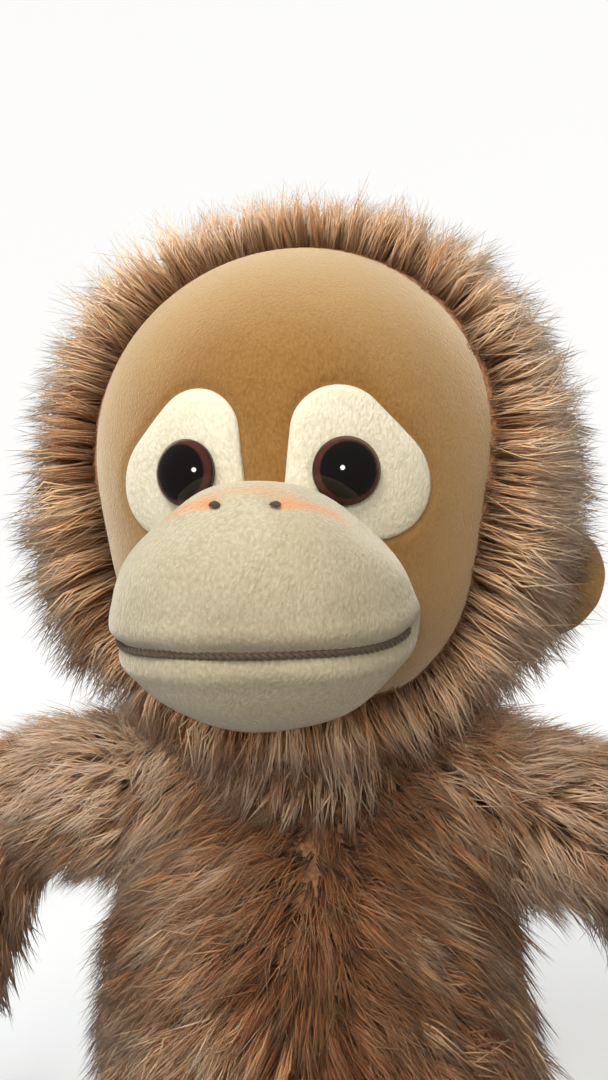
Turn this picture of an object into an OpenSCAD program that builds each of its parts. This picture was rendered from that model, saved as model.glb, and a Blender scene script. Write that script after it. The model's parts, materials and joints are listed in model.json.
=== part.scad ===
// A seated long-pile stuffed monkey: sewn covers, fibre stuffing and plastic safety eyes.
// +Z is up, the monkey faces -Y, and the origin is the middle of its flat seat.

/* [Head] */
// Radius of the cover, over its pile, low on the head
head_low_r = 92; // [88:1:96]
// Radius of the cover, over its pile, at the crown
head_high_r = 97; // [92:1:102]
// Distance between the centres of those two rounds
head_rise = 20; // [16:1:24]
// Height of the middle of the low round above the middle of the neck
head_lift = 82; // [80:1:86]
// Thickness of the long-pile cover on the head and torso
pile = 15; // [12:1:18]

/* [Face] */
// Half width of the face panel at the forehead
face_high_r = 67; // [62:1:70]
// Half width of the face panel at the cheeks
face_low_r = 66; // [60:1:68]
// Distance between the centres of those two rounds
face_rise = 35; // [32:1:38]
// Height of the middle of the cheeks above the middle of the neck
face_lift = 72; // [68:1:76]
// Height of the panel's lower edge, under the chin, above the middle of the neck
chin_lift = 22; // [20:1:26]
// Thickness of the short-pile cloth of the face and muzzle
nap = 2.4; // [1.6:0.2:3]
// Half width of the muzzle
muzzle_half_w = 44; // [40:1:47]
// Radius of the muzzle about its own left-right line
muzzle_r = 34; // [31:1:37]
// Height of the muzzle's middle above the middle of the neck
muzzle_lift = 57; // [54:1:62]
// How far the muzzle's middle stands in front of the neck
muzzle_reach = 87; // [84:1:92]

/* [Eyes] */
// Radius of the eye's dome
eye_r = 10; // [8:0.5:11]
// Height of the dome
eye_dome_h = 5.5; // [4.5:0.5:7]
// Turn of each eye away from straight ahead, in degrees
eye_turn = 16.5; // [15:0.5:19]
// Height of the eyes above the middle of the neck
eye_lift = 94; // [92:1:98]
// Radius of the eye's post
post_r = 2.6; // [2:0.1:3.5]
// Length of the post behind the face
post_length = 15; // [12:1:18]
// Radius of the lock washer
washer_r = 8.5; // [7:0.5:10]
// Thickness of the lock washer
washer_t = 1.6; // [1.2:0.2:2.4]

/* [Ears] */
// Radius of the ear
ear_r = 22; // [20:1:25]
// Half thickness of the ear
ear_half_t = 5; // [4:0.5:6]
// Distance of the ear's middle from the head's middle plane
ear_reach = 90; // [86:1:94]
// Height of the ear's middle above the middle of the neck
ear_lift = 60; // [56:1:64]

/* [Torso] */
// Radius of the torso at the belly
belly_r = 80; // [76:1:84]
// Radius of the torso at the chest
chest_r = 74; // [70:1:78]
// Height of the belly's middle above the seat
belly_h = 62; // [58:1:66]
// Distance from the belly's middle up to the chest's middle
chest_rise = 44; // [40:1:48]
// Height of the middle of the neck above the seat
neck_h = 186; // [184:1:190]
// Radius of the neck
neck_r = 40; // [36:1:42]

/* [Arms] */
// Distance of the shoulder from the middle plane
shoulder_x = 72; // [70:1:76]
// Height of the shoulder above the seat
shoulder_h = 160; // [156:1:164]
// Radius of the arm at the shoulder
shoulder_r = 25; // [22:1:25]
// Length from the shoulder to the elbow
upper_arm_length = 56; // [52:1:62]
// Length from the elbow to the wrist
forearm_length = 95; // [88:1:95]
// Radius of the elbow
elbow_r = 23; // [22:1:24]
// Radius of the forearm
forearm_r = 18; // [17:1:18]
// Radius of the wrist
wrist_r = 15; // [13:1:15]
// Length from the wrist to the middle of the fingers
hand_length = 42; // [36:1:42]
// Radius of the hand at its fingers
hand_r = 19; // [17:1:19]
// Thickness of the cover on the arms and legs, over its pile
limb_pile = 8; // [6:1:9]

/* [Legs] */
// Distance of the hip from the middle plane
hip_x = 40; // [39:1:44]
// Distance of the hip in front of the middle of the seat
hip_y = 57; // [55:1:60]
// Height of the hip above the seat
hip_h = 34; // [33:1:38]
// Radius of the leg at the hip
hip_r = 29; // [26:1:30]
// Length from the hip to the knee
thigh_length = 70; // [64:1:84]
// Radius of the knee
knee_r = 25; // [24:1:26]
// Length from the knee to the ankle
shin_length = 60; // [54:1:72]
// Radius of the shin
shin_r = 19; // [17:1:19]
// Radius of the ankle
ankle_r = 16; // [14:1:16]
// Radius of the foot at its heel
heel_r = 18; // [16:1:18]
// Radius of the foot at its toes
toe_r = 21; // [19:1:22]
// Length from the middle of the heel up to the middle of the toes
foot_length = 33; // [28:1:38]

/* [Fits] */
// Gap between a piece and what lies against it in the same body
lie = 0.3; // [0.2:0.1:0.5]
// Gap between pieces that move on each other
move_gap = 0.5; // [0.4:0.1:0.8]
// Gap around an eye's post in the cloth it passes through
post_gap = 0.2; // [0.1:0.1:0.4]

/* [Hidden] */
$fn = 96;
arc_steps = 12;         // straight steps in each round stretch of an outline
far = 400;              // longer than anything that is cut

fur_colour = "#b98463";
velboa_colour = "#b0844e";
cream_colour = "#e6dcc0";
fibre_colour = "#f1efe9";

skin_low_r = head_low_r - pile;
skin_high_r = head_high_r - pile;
head_z = neck_h + head_lift;
face_z = neck_h + face_lift;
muzzle_z = neck_h + muzzle_lift;
eye_z = neck_h + eye_lift;
ear_z = neck_h + ear_lift;
face_proud = 1;         // the face panel stands this far past the line of the other covers' backing
patch_t = 1.2;          // thickness of the eye patches
eye_side = 25;          // distance of each eye from the middle plane, used for its patch
wad_r = 10;             // radius of the loose wad in the root of an arm
backing = 2;            // thickness of a cover's woven backing, inside the line of its skin
backing_t = 1.2;        // thickness of the eye's plastic backing
pupil_r = 7;            // radius of the eye's pupil
pupil_t = 0.6;          // thickness of the eye's pupil

shoulder = [shoulder_x, 0, shoulder_h];
upper_arm_way = unit([0.99, -0.04, -0.08]);
forearm_way = unit([0.342, -0.10, -0.934]);
elbow = shoulder + upper_arm_length * upper_arm_way;
wrist = elbow + forearm_length * forearm_way;
fingers = wrist + hand_length * forearm_way;
upper_arm_end_r = 14;   // the upper arm's radius where it would reach the middle of the elbow

hip = [hip_x, -hip_y, hip_h];
thigh_way = unit([0.12, -0.99, -0.02]);
shin_way = unit([0.10, -0.99, -0.07]);
knee = hip + thigh_length * thigh_way;
ankle = knee + shin_length * shin_way;
leg_raise = 15;         // how far a leg can be raised from lying forward, in degrees
thigh_end_r = 17;       // the thigh's radius where it would reach the middle of the knee
foot_step = 20;         // distance from the ankle forward to the middle of the foot
heel = [ankle[0], ankle[1] - foot_step, heel_r + 1];
toes = heel + [1, -1, foot_length];
sole_cut = 11;          // distance from the middle of the foot forward to its flat sole

function unit(v) = v / norm(v);

// Points [radius, height] of a round of radius r about [0, z], from angle a to angle b.
function arc(r, z, a, b) =
    [for (i = [0:arc_steps]) let (t = a + (b - a) * i / arc_steps) [r * cos(t), z + r * sin(t)]];

// Outline of an egg: a round of radius low at height 0, joined to one of radius high at height rise.
// Where one round holds the other, the outline is the larger round's.
function egg(low, high, rise) =
    low - high >= rise ? arc(low, 0, -90, 90)
    : high - low >= rise ? arc(high, rise, -90, 90)
    : let (t = asin((low - high) / rise)) concat(arc(low, 0, -90, t), arc(high, rise, t, 90));

// How far an outline reaches from its axis at height z.
function reach(points, z) = [for (i = [1:len(points) - 1])
    let (a = points[i - 1], b = points[i]) if (a[1] <= z && z < b[1])
        a[0] + (b[0] - a[0]) * (z - a[1]) / (b[1] - a[1])][0];

// Outline of half an ellipse, of radius r and half length l.
function oval(r, l) =
    [for (i = [-arc_steps:arc_steps]) let (t = 90 * i / arc_steps) [r * cos(t), l * sin(t)]];

module egg_solid(low, high, rise) rotate_extrude() polygon(egg(low, high, rise));

// An egg with its low round at p and its high round at q.
module limb(p, q, low, high) {
    v = q - p;
    translate(p) rotate([0, acos(v[2] / norm(v)), atan2(v[1], v[0])]) egg_solid(low, high, norm(v));
}

module ball(p, r) translate(p) sphere(r);

// The model's right-hand half of space past the point p, along the direction way.
module past(p, way) {
    translate(p) rotate([0, acos(way[2]), atan2(way[1], way[0])])
        translate([-far / 2, -far / 2, 0]) cube(far);
}

// side is 1 for the monkey's left, which is +X, and -1 for its right.
module on_side(side) mirror([side < 0 ? 1 : 0, 0, 0]) children();

function head_outline(grow) = egg(skin_low_r + grow, skin_high_r + grow, head_rise);

module head_shape(grow) {
    translate([0, 0, head_z]) rotate_extrude() polygon(head_outline(grow));
}

// The face panel's outline, driven through the front of the head.
module face_block(grow) {
    low = face_low_r + grow;
    high = face_high_r + grow;
    points = egg(low, high, face_rise);
    mirrored = [for (i = [len(points) - 2:-1:1]) [-points[i][0], points[i][1]]];
    intersection() {
        translate([0, -10, face_z]) rotate([90, 0, 0]) linear_extrude(far) polygon(concat(points, mirrored));
        translate([-far / 2, -far, neck_h + chin_lift - grow]) cube(far);
    }
}

module ear_shape(grow) {
    translate([ear_reach, 2, ear_z]) rotate([90, 0, 0])
        rotate_extrude() polygon(oval(ear_r + grow, ear_half_t + grow));
}

module muzzle_shape(grow) {
    translate([0, -muzzle_reach, muzzle_z]) rotate([0, 90, 0])
        rotate_extrude() polygon(oval(muzzle_r + grow, muzzle_half_w + grow));
}

// Puts children in an eye's own frame: -Y points out of the eye, and y = 0 is the patch's front.
module at_eye() {
    eye_y = reach(head_outline(face_proud + patch_t), eye_z - head_z) + 2 * lie;
    rotate([0, 0, eye_turn]) translate([0, -eye_y, eye_z]) children();
}

// A cylinder along the eye's own axis, from depth a in front of the patch to depth b.
module eye_rod(r, a, b) rotate([90, 0, 0]) translate([0, 0, a]) cylinder(r = r, h = b - a);

module eye_hole() at_eye() eye_rod(post_r + post_gap, -post_length - 2, 1);

// Room for an ear in the pile, down to the cover's woven backing.
module ear_slot() difference() {
    ear_shape(lie);
    head_shape(0);
}

module head_fur(side) color(fur_colour) on_side(side) difference() {
    head_shape(pile);
    head_shape(-backing);
    face_block(lie);
    ball([0, 0, neck_h], neck_r + move_gap);
    ear_slot();
    translate([-far, -far / 2, 0]) cube(far);
    muzzle_shape(lie);
}

module head_stuffing() color(fibre_colour) difference() {
    head_shape(-backing - lie);
    ball([0, 0, neck_h], neck_r + move_gap);
    for (side = [-1, 1]) on_side(side) at_eye() eye_rod(washer_r + lie, -post_length - 8, 1);
}

module face_panel() color(velboa_colour) difference() {
    intersection() {
        head_shape(face_proud);
        face_block(0);
    }
    head_shape(-backing);
    ball([0, 0, neck_h], neck_r + move_gap);
    for (side = [-1, 1]) on_side(side) eye_hole();
}

// Outline of an eye patch: a round above the eye and a wider one below and outside it.
module patch_block() {
    translate([0, -10, eye_z]) rotate([90, 0, 0]) linear_extrude(far) hull() {
        translate([eye_side - 4, 13]) circle(11, $fn = 48);
        translate([eye_side + 4, -3]) circle(16.5, $fn = 48);
        translate([eye_side - 10.5, -9]) circle(8, $fn = 32);
    }
}

module eye_patch(side) color(cream_colour) on_side(side) difference() {
    intersection() {
        head_shape(face_proud + patch_t);
        patch_block();
    }
    head_shape(face_proud + 0.05);
    eye_hole();
    muzzle_shape(lie);
}

// Room for the domes, which the muzzle's cloth gives way to.
module dome_rooms() for (side = [-1, 1])
    on_side(side) at_eye() eye_rod(eye_r + lie, -lie, eye_dome_h + backing_t + lie);

module muzzle_cover() color(cream_colour) difference() {
    muzzle_shape(0);
    muzzle_shape(-nap);
    head_shape(face_proud + 0.05);
    dome_rooms();
}

module muzzle_stuffing() color(fibre_colour) difference() {
    muzzle_shape(-nap - lie);
    head_shape(face_proud + lie);
    dome_rooms();
}

// The mouth is a raised line of stitches, which follows a shallow arc across the muzzle.
module mouth_stitching() {
    mouth_r = 300;      // radius of the arc
    mouth_w = 2.6;      // width of the line
    mouth_drop = 12;    // how far the line's middle is below the muzzle's middle
    mouth_half = 41;    // half width of the mouth
    color("#332a1c") intersection() {
        difference() {
            muzzle_shape(1.2);
            muzzle_shape(0.05);
        }
        translate([0, -muzzle_reach, muzzle_z - mouth_drop + mouth_r]) rotate([90, 0, 0]) difference() {
            cylinder(r = mouth_r + mouth_w / 2, h = far);
            translate([0, 0, -1]) cylinder(r = mouth_r - mouth_w / 2, h = far + 2);
        }
        translate([-mouth_half, -far, 0]) cube([2 * mouth_half, far - muzzle_reach, muzzle_z]);
    }
}

// Two short bars of thread on the top of the muzzle.
module nostril_stitches() {
    nostril_x = 8.2;    // distance of each nostril from the middle plane
    nostril_z = 26.7;     // height of the nostrils above the muzzle's middle
    color("#2a2219") for (side = [-1, 1]) on_side(side) intersection() {
        difference() {
            muzzle_shape(1);
            muzzle_shape(0.05);
        }
        translate([nostril_x, -muzzle_reach, muzzle_z + nostril_z]) rotate([90, 0, 0])
            cylinder(r = 1.7, h = far);
    }
}

// The dome is part of a ball that bulges eye_dome_h in front of its own rim.
module eye_dome(side) {
    ball_r = (eye_r * eye_r + eye_dome_h * eye_dome_h) / (2 * eye_dome_h);
    color("#3a1c16") on_side(side) at_eye() difference() {
        intersection() {
            translate([0, -backing_t - eye_dome_h + ball_r, 0]) sphere(ball_r);
            eye_rod(eye_r, backing_t + 0.02, far);
        }
        eye_rod(pupil_r + 0.05, 0, backing_t + pupil_t + 0.05);
    }
}

module eye_pupil(side) {
    color("#0b0b0b") on_side(side) at_eye() eye_rod(pupil_r, backing_t + 0.02, backing_t + pupil_t);
}

module eye_post(side) color("#141414") on_side(side) at_eye() {
    eye_rod(eye_r, 0, backing_t);
    eye_rod(post_r, -post_length, backing_t);
}

module eye_washer(side) {
    // The cloth curves back behind the flat washer, so the washer stands off by that much.
    washer_back = nap + patch_t + face_proud + backing + 1;
    color("#dcdcd6") on_side(side) at_eye() difference() {
        eye_rod(washer_r, -washer_back - washer_t, -washer_back);
        eye_rod(post_r + 0.02, -far, far);
    }
}

module ear_panel(side, front) color(velboa_colour) on_side(side) difference() {
    ear_shape(0);
    ear_shape(-nap);
    head_shape(lie);
    translate([0, front ? 2 - lie / 6 : 2 - far + lie / 6, 0]) cube(far);
}

module torso_shape(grow) {
    intersection() {
        translate([0, 0, belly_h]) egg_solid(belly_r + grow, chest_r + grow, chest_rise);
        translate([-far / 2, -far / 2, max(0, -grow)]) cube(far);
    }
}

// Room for a leg at the hip, in every place it takes between raised forward and hanging down.
module leg_room(grow) {
    ball(hip, hip_r + grow);
    for (tilt = [180, 90, 90 - leg_raise])
        translate(hip) rotate([tilt, 0, 0]) cylinder(r = hip_r + grow - 1, h = far);
}

module limb_rooms() for (side = [-1, 1]) on_side(side) {
    ball(shoulder, shoulder_r + move_gap);
    leg_room(move_gap);
}

seat_r = 36;            // radius of the flat seat panel

module torso_fur(front) color(fur_colour) difference() {
    torso_shape(0);
    torso_shape(-pile);
    limb_rooms();
    ball([0, 0, neck_h], neck_r + move_gap);
    translate([0, 0, -1]) cylinder(r = seat_r + lie, h = pile + 2);
    translate([-far / 2, front ? 0 : -far, -1]) cube(far);
    label_slot();
}

module torso_stuffing() color(fibre_colour) difference() {
    torso_shape(-pile - lie);
    limb_rooms();
    ball([0, 0, neck_h], neck_r + move_gap);
}

module seat_panel() color(fur_colour) difference() {
    cylinder(r = seat_r, h = pile);
    limb_rooms();
}

label_w = 14;           // width of the blank label
label_h = 26;           // length of the blank label
label_t = 0.8;          // thickness of the folded label
label_z = 40;           // height of the label's middle

module label_block(grow) {
    rotate([0, 0, 70]) translate([-label_t / 2 - grow, belly_r - pile + 1, label_z - label_w / 2 - grow])
        cube([label_t + 2 * grow, label_h + grow, label_w + 2 * grow]);
}

module label_slot() label_block(lie);

module care_label() color("#f4f2ec") label_block(0);

module neck_fur() color(fur_colour) difference() {
    ball([0, 0, neck_h], neck_r);
    ball([0, 0, neck_h], neck_r - limb_pile);
}

module neck_stuffing() color(fibre_colour) ball([0, 0, neck_h], neck_r - limb_pile - lie);

module shoulder_wad(side) color(fibre_colour) on_side(side) ball(shoulder, wad_r);

module upper_arm_shape(grow) limb(shoulder, elbow, shoulder_r + grow, upper_arm_end_r + grow);

module upper_arm_fur(side) color(fur_colour) on_side(side) difference() {
    upper_arm_shape(0);
    upper_arm_shape(-limb_pile);
    ball(elbow, elbow_r + move_gap);
}

module upper_arm_stuffing(side) color(fibre_colour) on_side(side) difference() {
    upper_arm_shape(-limb_pile - lie);
    ball(elbow, elbow_r + move_gap);
    ball(shoulder, wad_r + move_gap);
}

module forearm_shape(grow) {
    ball(elbow, elbow_r + grow);
    limb(elbow, wrist, forearm_r + grow, forearm_r - 1 + grow);
}

// Cuts a limb's end back to a shallow cup around the ball of the next joint.
module cup(p, way, r) {
    ball(p, r + move_gap);
    past(p - way * r / 3, way);
}

module forearm_fur(side) color(fur_colour) on_side(side) difference() {
    forearm_shape(0);
    forearm_shape(-limb_pile);
    cup(wrist, forearm_way, wrist_r);
}

module forearm_stuffing(side) color(fibre_colour) on_side(side) difference() {
    forearm_shape(-limb_pile - lie);
    cup(wrist, forearm_way, wrist_r);
}

thumb_root = wrist + 0.35 * hand_length * forearm_way + [0, -wrist_r * 0.6, 0];
thumb_tip = thumb_root + [2, -13, -14];
thumb_r = 7;

module hand_shape(grow) {
    limb(wrist, fingers, wrist_r + grow, hand_r + grow);
    limb(thumb_root, thumb_tip, thumb_r + grow, thumb_r + 0.5 + grow);
}

// The half of a hand on its palm's side, which faces the body, or on its back's side.
module split_hand(palm) {
    turn = atan2(forearm_way[0], -forearm_way[2]);
    translate(wrist) rotate([0, -turn, 0]) translate([palm ? -far : lie / 6, -far / 2, -far / 2]) cube(far);
}

module hand_panel(side, palm) color(velboa_colour) on_side(side) intersection() {
    difference() {
        hand_shape(0);
        hand_shape(-nap);
    }
    split_hand(palm);
}

module hand_stuffing(side) color(fibre_colour) on_side(side) hand_shape(-nap - lie);

module thigh_shape(grow) limb(hip, knee, hip_r + grow, thigh_end_r + grow);

module thigh_fur(side) color(fur_colour) on_side(side) difference() {
    thigh_shape(0);
    thigh_shape(-limb_pile);
    ball(knee, knee_r + move_gap);
}

module thigh_stuffing(side) color(fibre_colour) on_side(side) difference() {
    thigh_shape(-limb_pile - lie);
    ball(knee, knee_r + move_gap);
}

module shin_shape(grow) {
    ball(knee, knee_r + grow);
    limb(knee, ankle, shin_r + grow, shin_r - 1 + grow);
}

module shin_fur(side) color(fur_colour) on_side(side) difference() {
    shin_shape(0);
    shin_shape(-limb_pile);
    cup(ankle, shin_way, ankle_r);
}

module shin_stuffing(side) color(fibre_colour) on_side(side) difference() {
    shin_shape(-limb_pile - lie);
    cup(ankle, shin_way, ankle_r);
}

module foot_shape(grow) {
    difference() {
        union() {
            limb(heel, toes, heel_r + grow, toe_r + grow);
            limb(ankle, ankle + [0, -foot_step, 0], ankle_r + grow, ankle_r + grow);
        }
        translate([-far / 2, heel[1] - sole_cut - grow - far, -far / 2]) cube(far);
    }
}

module foot_panel(side, sole) color(velboa_colour) on_side(side) intersection() {
    difference() {
        foot_shape(0);
        foot_shape(-nap);
    }
    translate([-far / 2, heel[1] - sole_cut / 2 + (sole ? -far : lie / 6), -far / 2]) cube(far);
}

module foot_stuffing(side) color(fibre_colour) on_side(side) foot_shape(-nap - lie);

torso_fur(true);  // torso_fur_front
torso_fur(false);  // torso_fur_back
seat_panel();
torso_stuffing();
care_label();
neck_fur();
neck_stuffing();
head_fur(1);  // head_fur_left
head_fur(-1);  // head_fur_right
head_stuffing();
face_panel();
eye_patch(1);  // eye_patch_left
eye_patch(-1);  // eye_patch_right
muzzle_cover();
muzzle_stuffing();
mouth_stitching();
nostril_stitches();
eye_dome(1);  // eye_dome_left
eye_dome(-1);  // eye_dome_right
eye_pupil(1);  // eye_pupil_left
eye_pupil(-1);  // eye_pupil_right
eye_post(1);  // eye_post_left
eye_post(-1);  // eye_post_right
eye_washer(1);  // eye_washer_left
eye_washer(-1);  // eye_washer_right
ear_panel(1, true);  // ear_front_left
ear_panel(-1, true);  // ear_front_right
ear_panel(1, false);  // ear_back_left
ear_panel(-1, false);  // ear_back_right
shoulder_wad(1);  // shoulder_wad_left
shoulder_wad(-1);  // shoulder_wad_right
upper_arm_fur(1);  // upper_arm_fur_left
upper_arm_fur(-1);  // upper_arm_fur_right
upper_arm_stuffing(1);  // upper_arm_stuffing_left
upper_arm_stuffing(-1);  // upper_arm_stuffing_right
forearm_fur(1);  // forearm_fur_left
forearm_fur(-1);  // forearm_fur_right
forearm_stuffing(1);  // forearm_stuffing_left
forearm_stuffing(-1);  // forearm_stuffing_right
hand_panel(1, true);  // hand_palm_left
hand_panel(-1, true);  // hand_palm_right
hand_panel(1, false);  // hand_back_left
hand_panel(-1, false);  // hand_back_right
hand_stuffing(1);  // hand_stuffing_left
hand_stuffing(-1);  // hand_stuffing_right
thigh_fur(1);  // thigh_fur_left
thigh_fur(-1);  // thigh_fur_right
thigh_stuffing(1);  // thigh_stuffing_left
thigh_stuffing(-1);  // thigh_stuffing_right
shin_fur(1);  // shin_fur_left
shin_fur(-1);  // shin_fur_right
shin_stuffing(1);  // shin_stuffing_left
shin_stuffing(-1);  // shin_stuffing_right
foot_panel(1, true);  // foot_sole_left
foot_panel(-1, true);  // foot_sole_right
foot_panel(1, false);  // foot_top_left
foot_panel(-1, false);  // foot_top_right
foot_stuffing(1);  // foot_stuffing_left
foot_stuffing(-1);  // foot_stuffing_right
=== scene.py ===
"""A seated long-pile stuffed monkey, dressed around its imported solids.

Every size is in metres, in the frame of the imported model: +Z is up and the monkey faces -Y.
"""

import json
import logging
import math
import random
from collections.abc import Callable
from dataclasses import dataclass, field
from enum import Enum

import bmesh
import bpy
import numpy as np
from mathutils import Matrix, Vector
from mathutils.geometry import convex_hull_2d


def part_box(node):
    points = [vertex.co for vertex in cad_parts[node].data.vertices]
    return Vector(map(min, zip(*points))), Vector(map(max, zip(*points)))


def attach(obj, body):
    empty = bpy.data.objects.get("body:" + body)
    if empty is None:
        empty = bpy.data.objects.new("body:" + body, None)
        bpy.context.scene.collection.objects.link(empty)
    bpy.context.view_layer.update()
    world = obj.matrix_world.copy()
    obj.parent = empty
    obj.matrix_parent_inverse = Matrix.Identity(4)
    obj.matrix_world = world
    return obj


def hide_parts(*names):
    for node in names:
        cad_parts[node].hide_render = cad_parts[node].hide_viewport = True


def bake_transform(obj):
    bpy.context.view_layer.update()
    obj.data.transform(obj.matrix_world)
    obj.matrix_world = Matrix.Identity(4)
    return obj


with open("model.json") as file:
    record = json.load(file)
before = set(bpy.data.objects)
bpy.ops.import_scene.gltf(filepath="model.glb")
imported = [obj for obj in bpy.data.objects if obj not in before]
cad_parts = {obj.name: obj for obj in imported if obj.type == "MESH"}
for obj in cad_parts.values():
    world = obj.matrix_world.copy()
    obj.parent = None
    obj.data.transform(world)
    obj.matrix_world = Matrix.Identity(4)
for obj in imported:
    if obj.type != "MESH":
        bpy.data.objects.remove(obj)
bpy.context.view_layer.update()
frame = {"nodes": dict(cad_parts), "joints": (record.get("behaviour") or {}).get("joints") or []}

LOG = logging.getLogger("monkey")
MM = 0.001
BAKE_MAP = "OFBake"
SIDES = {"left": 1, "right": -1}
Colour = tuple[float, float, float]
Outline = list[tuple[float, float]]
Feed = bpy.types.NodeSocket | float | str | tuple


# ---------------------------------------------------------------- node building


class NodeBench:
    """Places and joins the nodes of one tree."""

    def __init__(self, tree: bpy.types.NodeTree) -> None:
        """Keeps the tree that the nodes go into."""
        self.tree = tree

    def add(self, kind: str, values: dict | None = None, **settings) -> bpy.types.Node:
        """Adds a node.

        Args:
            kind: the node's type name.
            values: input names or numbers, each with a value or with the socket that feeds it.
            settings: the node's own properties.

        Returns:
            The node.
        """
        node = self.tree.nodes.new(kind)
        for name, value in settings.items():
            setattr(node, name, value)
        for name, value in (values or {}).items():
            self.feed(node.inputs[name], value)
        return node

    def feed(self, socket: bpy.types.NodeSocket, value: Feed) -> None:
        """Gives a socket a value.

        Args:
            socket: the input.
            value: a plain value, or the output that is joined to it.
        """
        if isinstance(value, bpy.types.NodeSocket):
            self.tree.links.new(value, socket)
        else:
            socket.default_value = value

    def maths(self, operation: str, a: Feed, b: Feed = 0.0, clamp: bool = False) -> bpy.types.NodeSocket:
        """Returns the result of one sum on two numbers."""
        node = self.add("ShaderNodeMath", {0: a, 1: b}, operation=operation, use_clamp=clamp)
        return node.outputs[0]

    def vector(self, operation: str, a: Feed, b: Feed = (0.0, 0.0, 0.0)) -> bpy.types.NodeSocket:
        """Returns the result of one sum on two vectors."""
        return self.add("ShaderNodeVectorMath", {0: a, 1: b}, operation=operation).outputs[0]

    def scaled(self, vector: Feed, by: Feed) -> bpy.types.NodeSocket:
        """Multiplies a vector by a number.

        Args:
            vector: the vector.
            by: the number.

        Returns:
            The longer or shorter vector.
        """
        node = self.add("ShaderNodeVectorMath", {0: vector}, operation="SCALE")
        self.feed(node.inputs["Scale"], by)
        return node.outputs[0]

    def here(self) -> bpy.types.NodeSocket:
        """Returns the place on the piece, in metres."""
        return self.add("ShaderNodeTexCoord").outputs["Object"]

    def noise(self, place: Feed, scale: Feed, detail: float = 2.0, **others: float) -> bpy.types.Node:
        """Adds a noise texture.

        Args:
            place: where it is read.
            scale: how fine it is.
            detail: how many finer layers it has.
            others: its other inputs, by their names.

        Returns:
            The node.
        """
        return self.add("ShaderNodeTexNoise", {"Vector": place, "Scale": scale, "Detail": detail, **others})

    def ramp(self, factor: Feed, stops: list[tuple[float, Colour]]) -> bpy.types.NodeSocket:
        """Adds a colour ramp.

        Args:
            factor: the place along it.
            stops: each stop's place and colour.

        Returns:
            The colour.
        """
        node = self.add("ShaderNodeValToRGB", {0: factor})
        points = node.color_ramp.elements
        while len(points) < len(stops):
            points.new(1.0)
        for point, (place, colour) in zip(points, stops):
            point.position, point.color = place, (*colour, 1.0)
        return node.outputs["Color"]

    def mix(self, factor: Feed, a: Feed, b: Feed, blend: str = "MIX") -> bpy.types.NodeSocket:
        """Mixes two colours.

        Args:
            factor: how much of the second there is.
            a: the first.
            b: the second.
            blend: how they are mixed.

        Returns:
            The colour.
        """
        node = self.add("ShaderNodeMix", data_type="RGBA", blend_type=blend)
        for number, value in ((0, factor), (6, a), (7, b)):
            if isinstance(value, tuple) and len(value) == 3:
                value = (*value, 1.0)
            self.feed(node.inputs[number], value)
        return node.outputs[2]

    def dress(self, shader: bpy.types.Node, values: dict[str, Feed]) -> None:
        """Gives a shader its colour, roughness and so on, by input name."""
        for name, value in values.items():
            self.feed(shader.inputs[name], value)

    def bumped(self, shader: bpy.types.Node, height: Feed, distance: float, strength: float) -> None:
        """Gives a shader a bumpy surface.

        Args:
            shader: the shader.
            height: how high the surface stands.
            distance: metres at a height of 1.
            strength: how much of it shows.
        """
        values = {"Height": height, "Distance": distance, "Strength": strength}
        self.feed(shader.inputs["Normal"], self.add("ShaderNodeBump", values).outputs[0])


def new_group(name: str, inputs: dict[str, float], outputs: dict[str, str]) -> bpy.types.NodeTree:
    """Makes an empty shader node group with named number inputs.

    Args:
        name: the group's name.
        inputs: each input and its first value.
        outputs: each output and its socket type.

    Returns:
        The group.
    """
    tree = bpy.data.node_groups.new(name, "ShaderNodeTree")
    for key, value in inputs.items():
        tree.interface.new_socket(key, in_out="INPUT", socket_type="NodeSocketFloat").default_value = value
    for key, kind in outputs.items():
        tree.interface.new_socket(key, in_out="OUTPUT", socket_type=kind)
    return tree


def nap_group() -> bpy.types.NodeTree:
    """Makes the brushed short pile.

    Returns:
        A group that gives the fine fibre tips, the soft brush marks and the fibres' height.
    """
    inputs = {"Grain": 900.0, "Brush": 60.0, "Crush": 14.0}
    outputs = {"Tips": "NodeSocketFloat", "Marks": "NodeSocketFloat", "Height": "NodeSocketFloat"}
    tree = new_group("Brushed nap", inputs, outputs)
    bench = NodeBench(tree)
    start, end = bench.add("NodeGroupInput"), bench.add("NodeGroupOutput")
    place, grain = bench.here(), start.outputs["Grain"]
    wander = bench.noise(place, start.outputs["Brush"])
    bent = bench.vector("ADD", place, bench.scaled(wander.outputs["Color"], 0.004))
    combed = bench.vector("MULTIPLY", bent, (1.0, 1.0, 0.55))
    tips = bench.noise(combed, grain, 3.0, Roughness=0.65)
    cells = {"Vector": combed, "Scale": bench.maths("MULTIPLY", grain, 0.62)}
    tufts = bench.add("ShaderNodeTexVoronoi", cells, feature="SMOOTH_F1")
    marks = bench.noise(place, start.outputs["Crush"], 4.0, Roughness=0.6, Distortion=0.6)
    gaps = bench.maths("MULTIPLY", tufts.outputs["Distance"], 0.8)
    height = bench.maths("SUBTRACT", tips.outputs["Fac"], gaps)
    strong = bench.maths("MULTIPLY", bench.maths("SUBTRACT", marks.outputs["Fac"], 0.5), 2.4)
    bench.feed(end.inputs["Tips"], bench.maths("ADD", height, 0.25, clamp=True))
    bench.feed(end.inputs["Marks"], bench.maths("ADD", strong, 0.5, clamp=True))
    bench.feed(end.inputs["Height"], height)
    return tree


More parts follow.
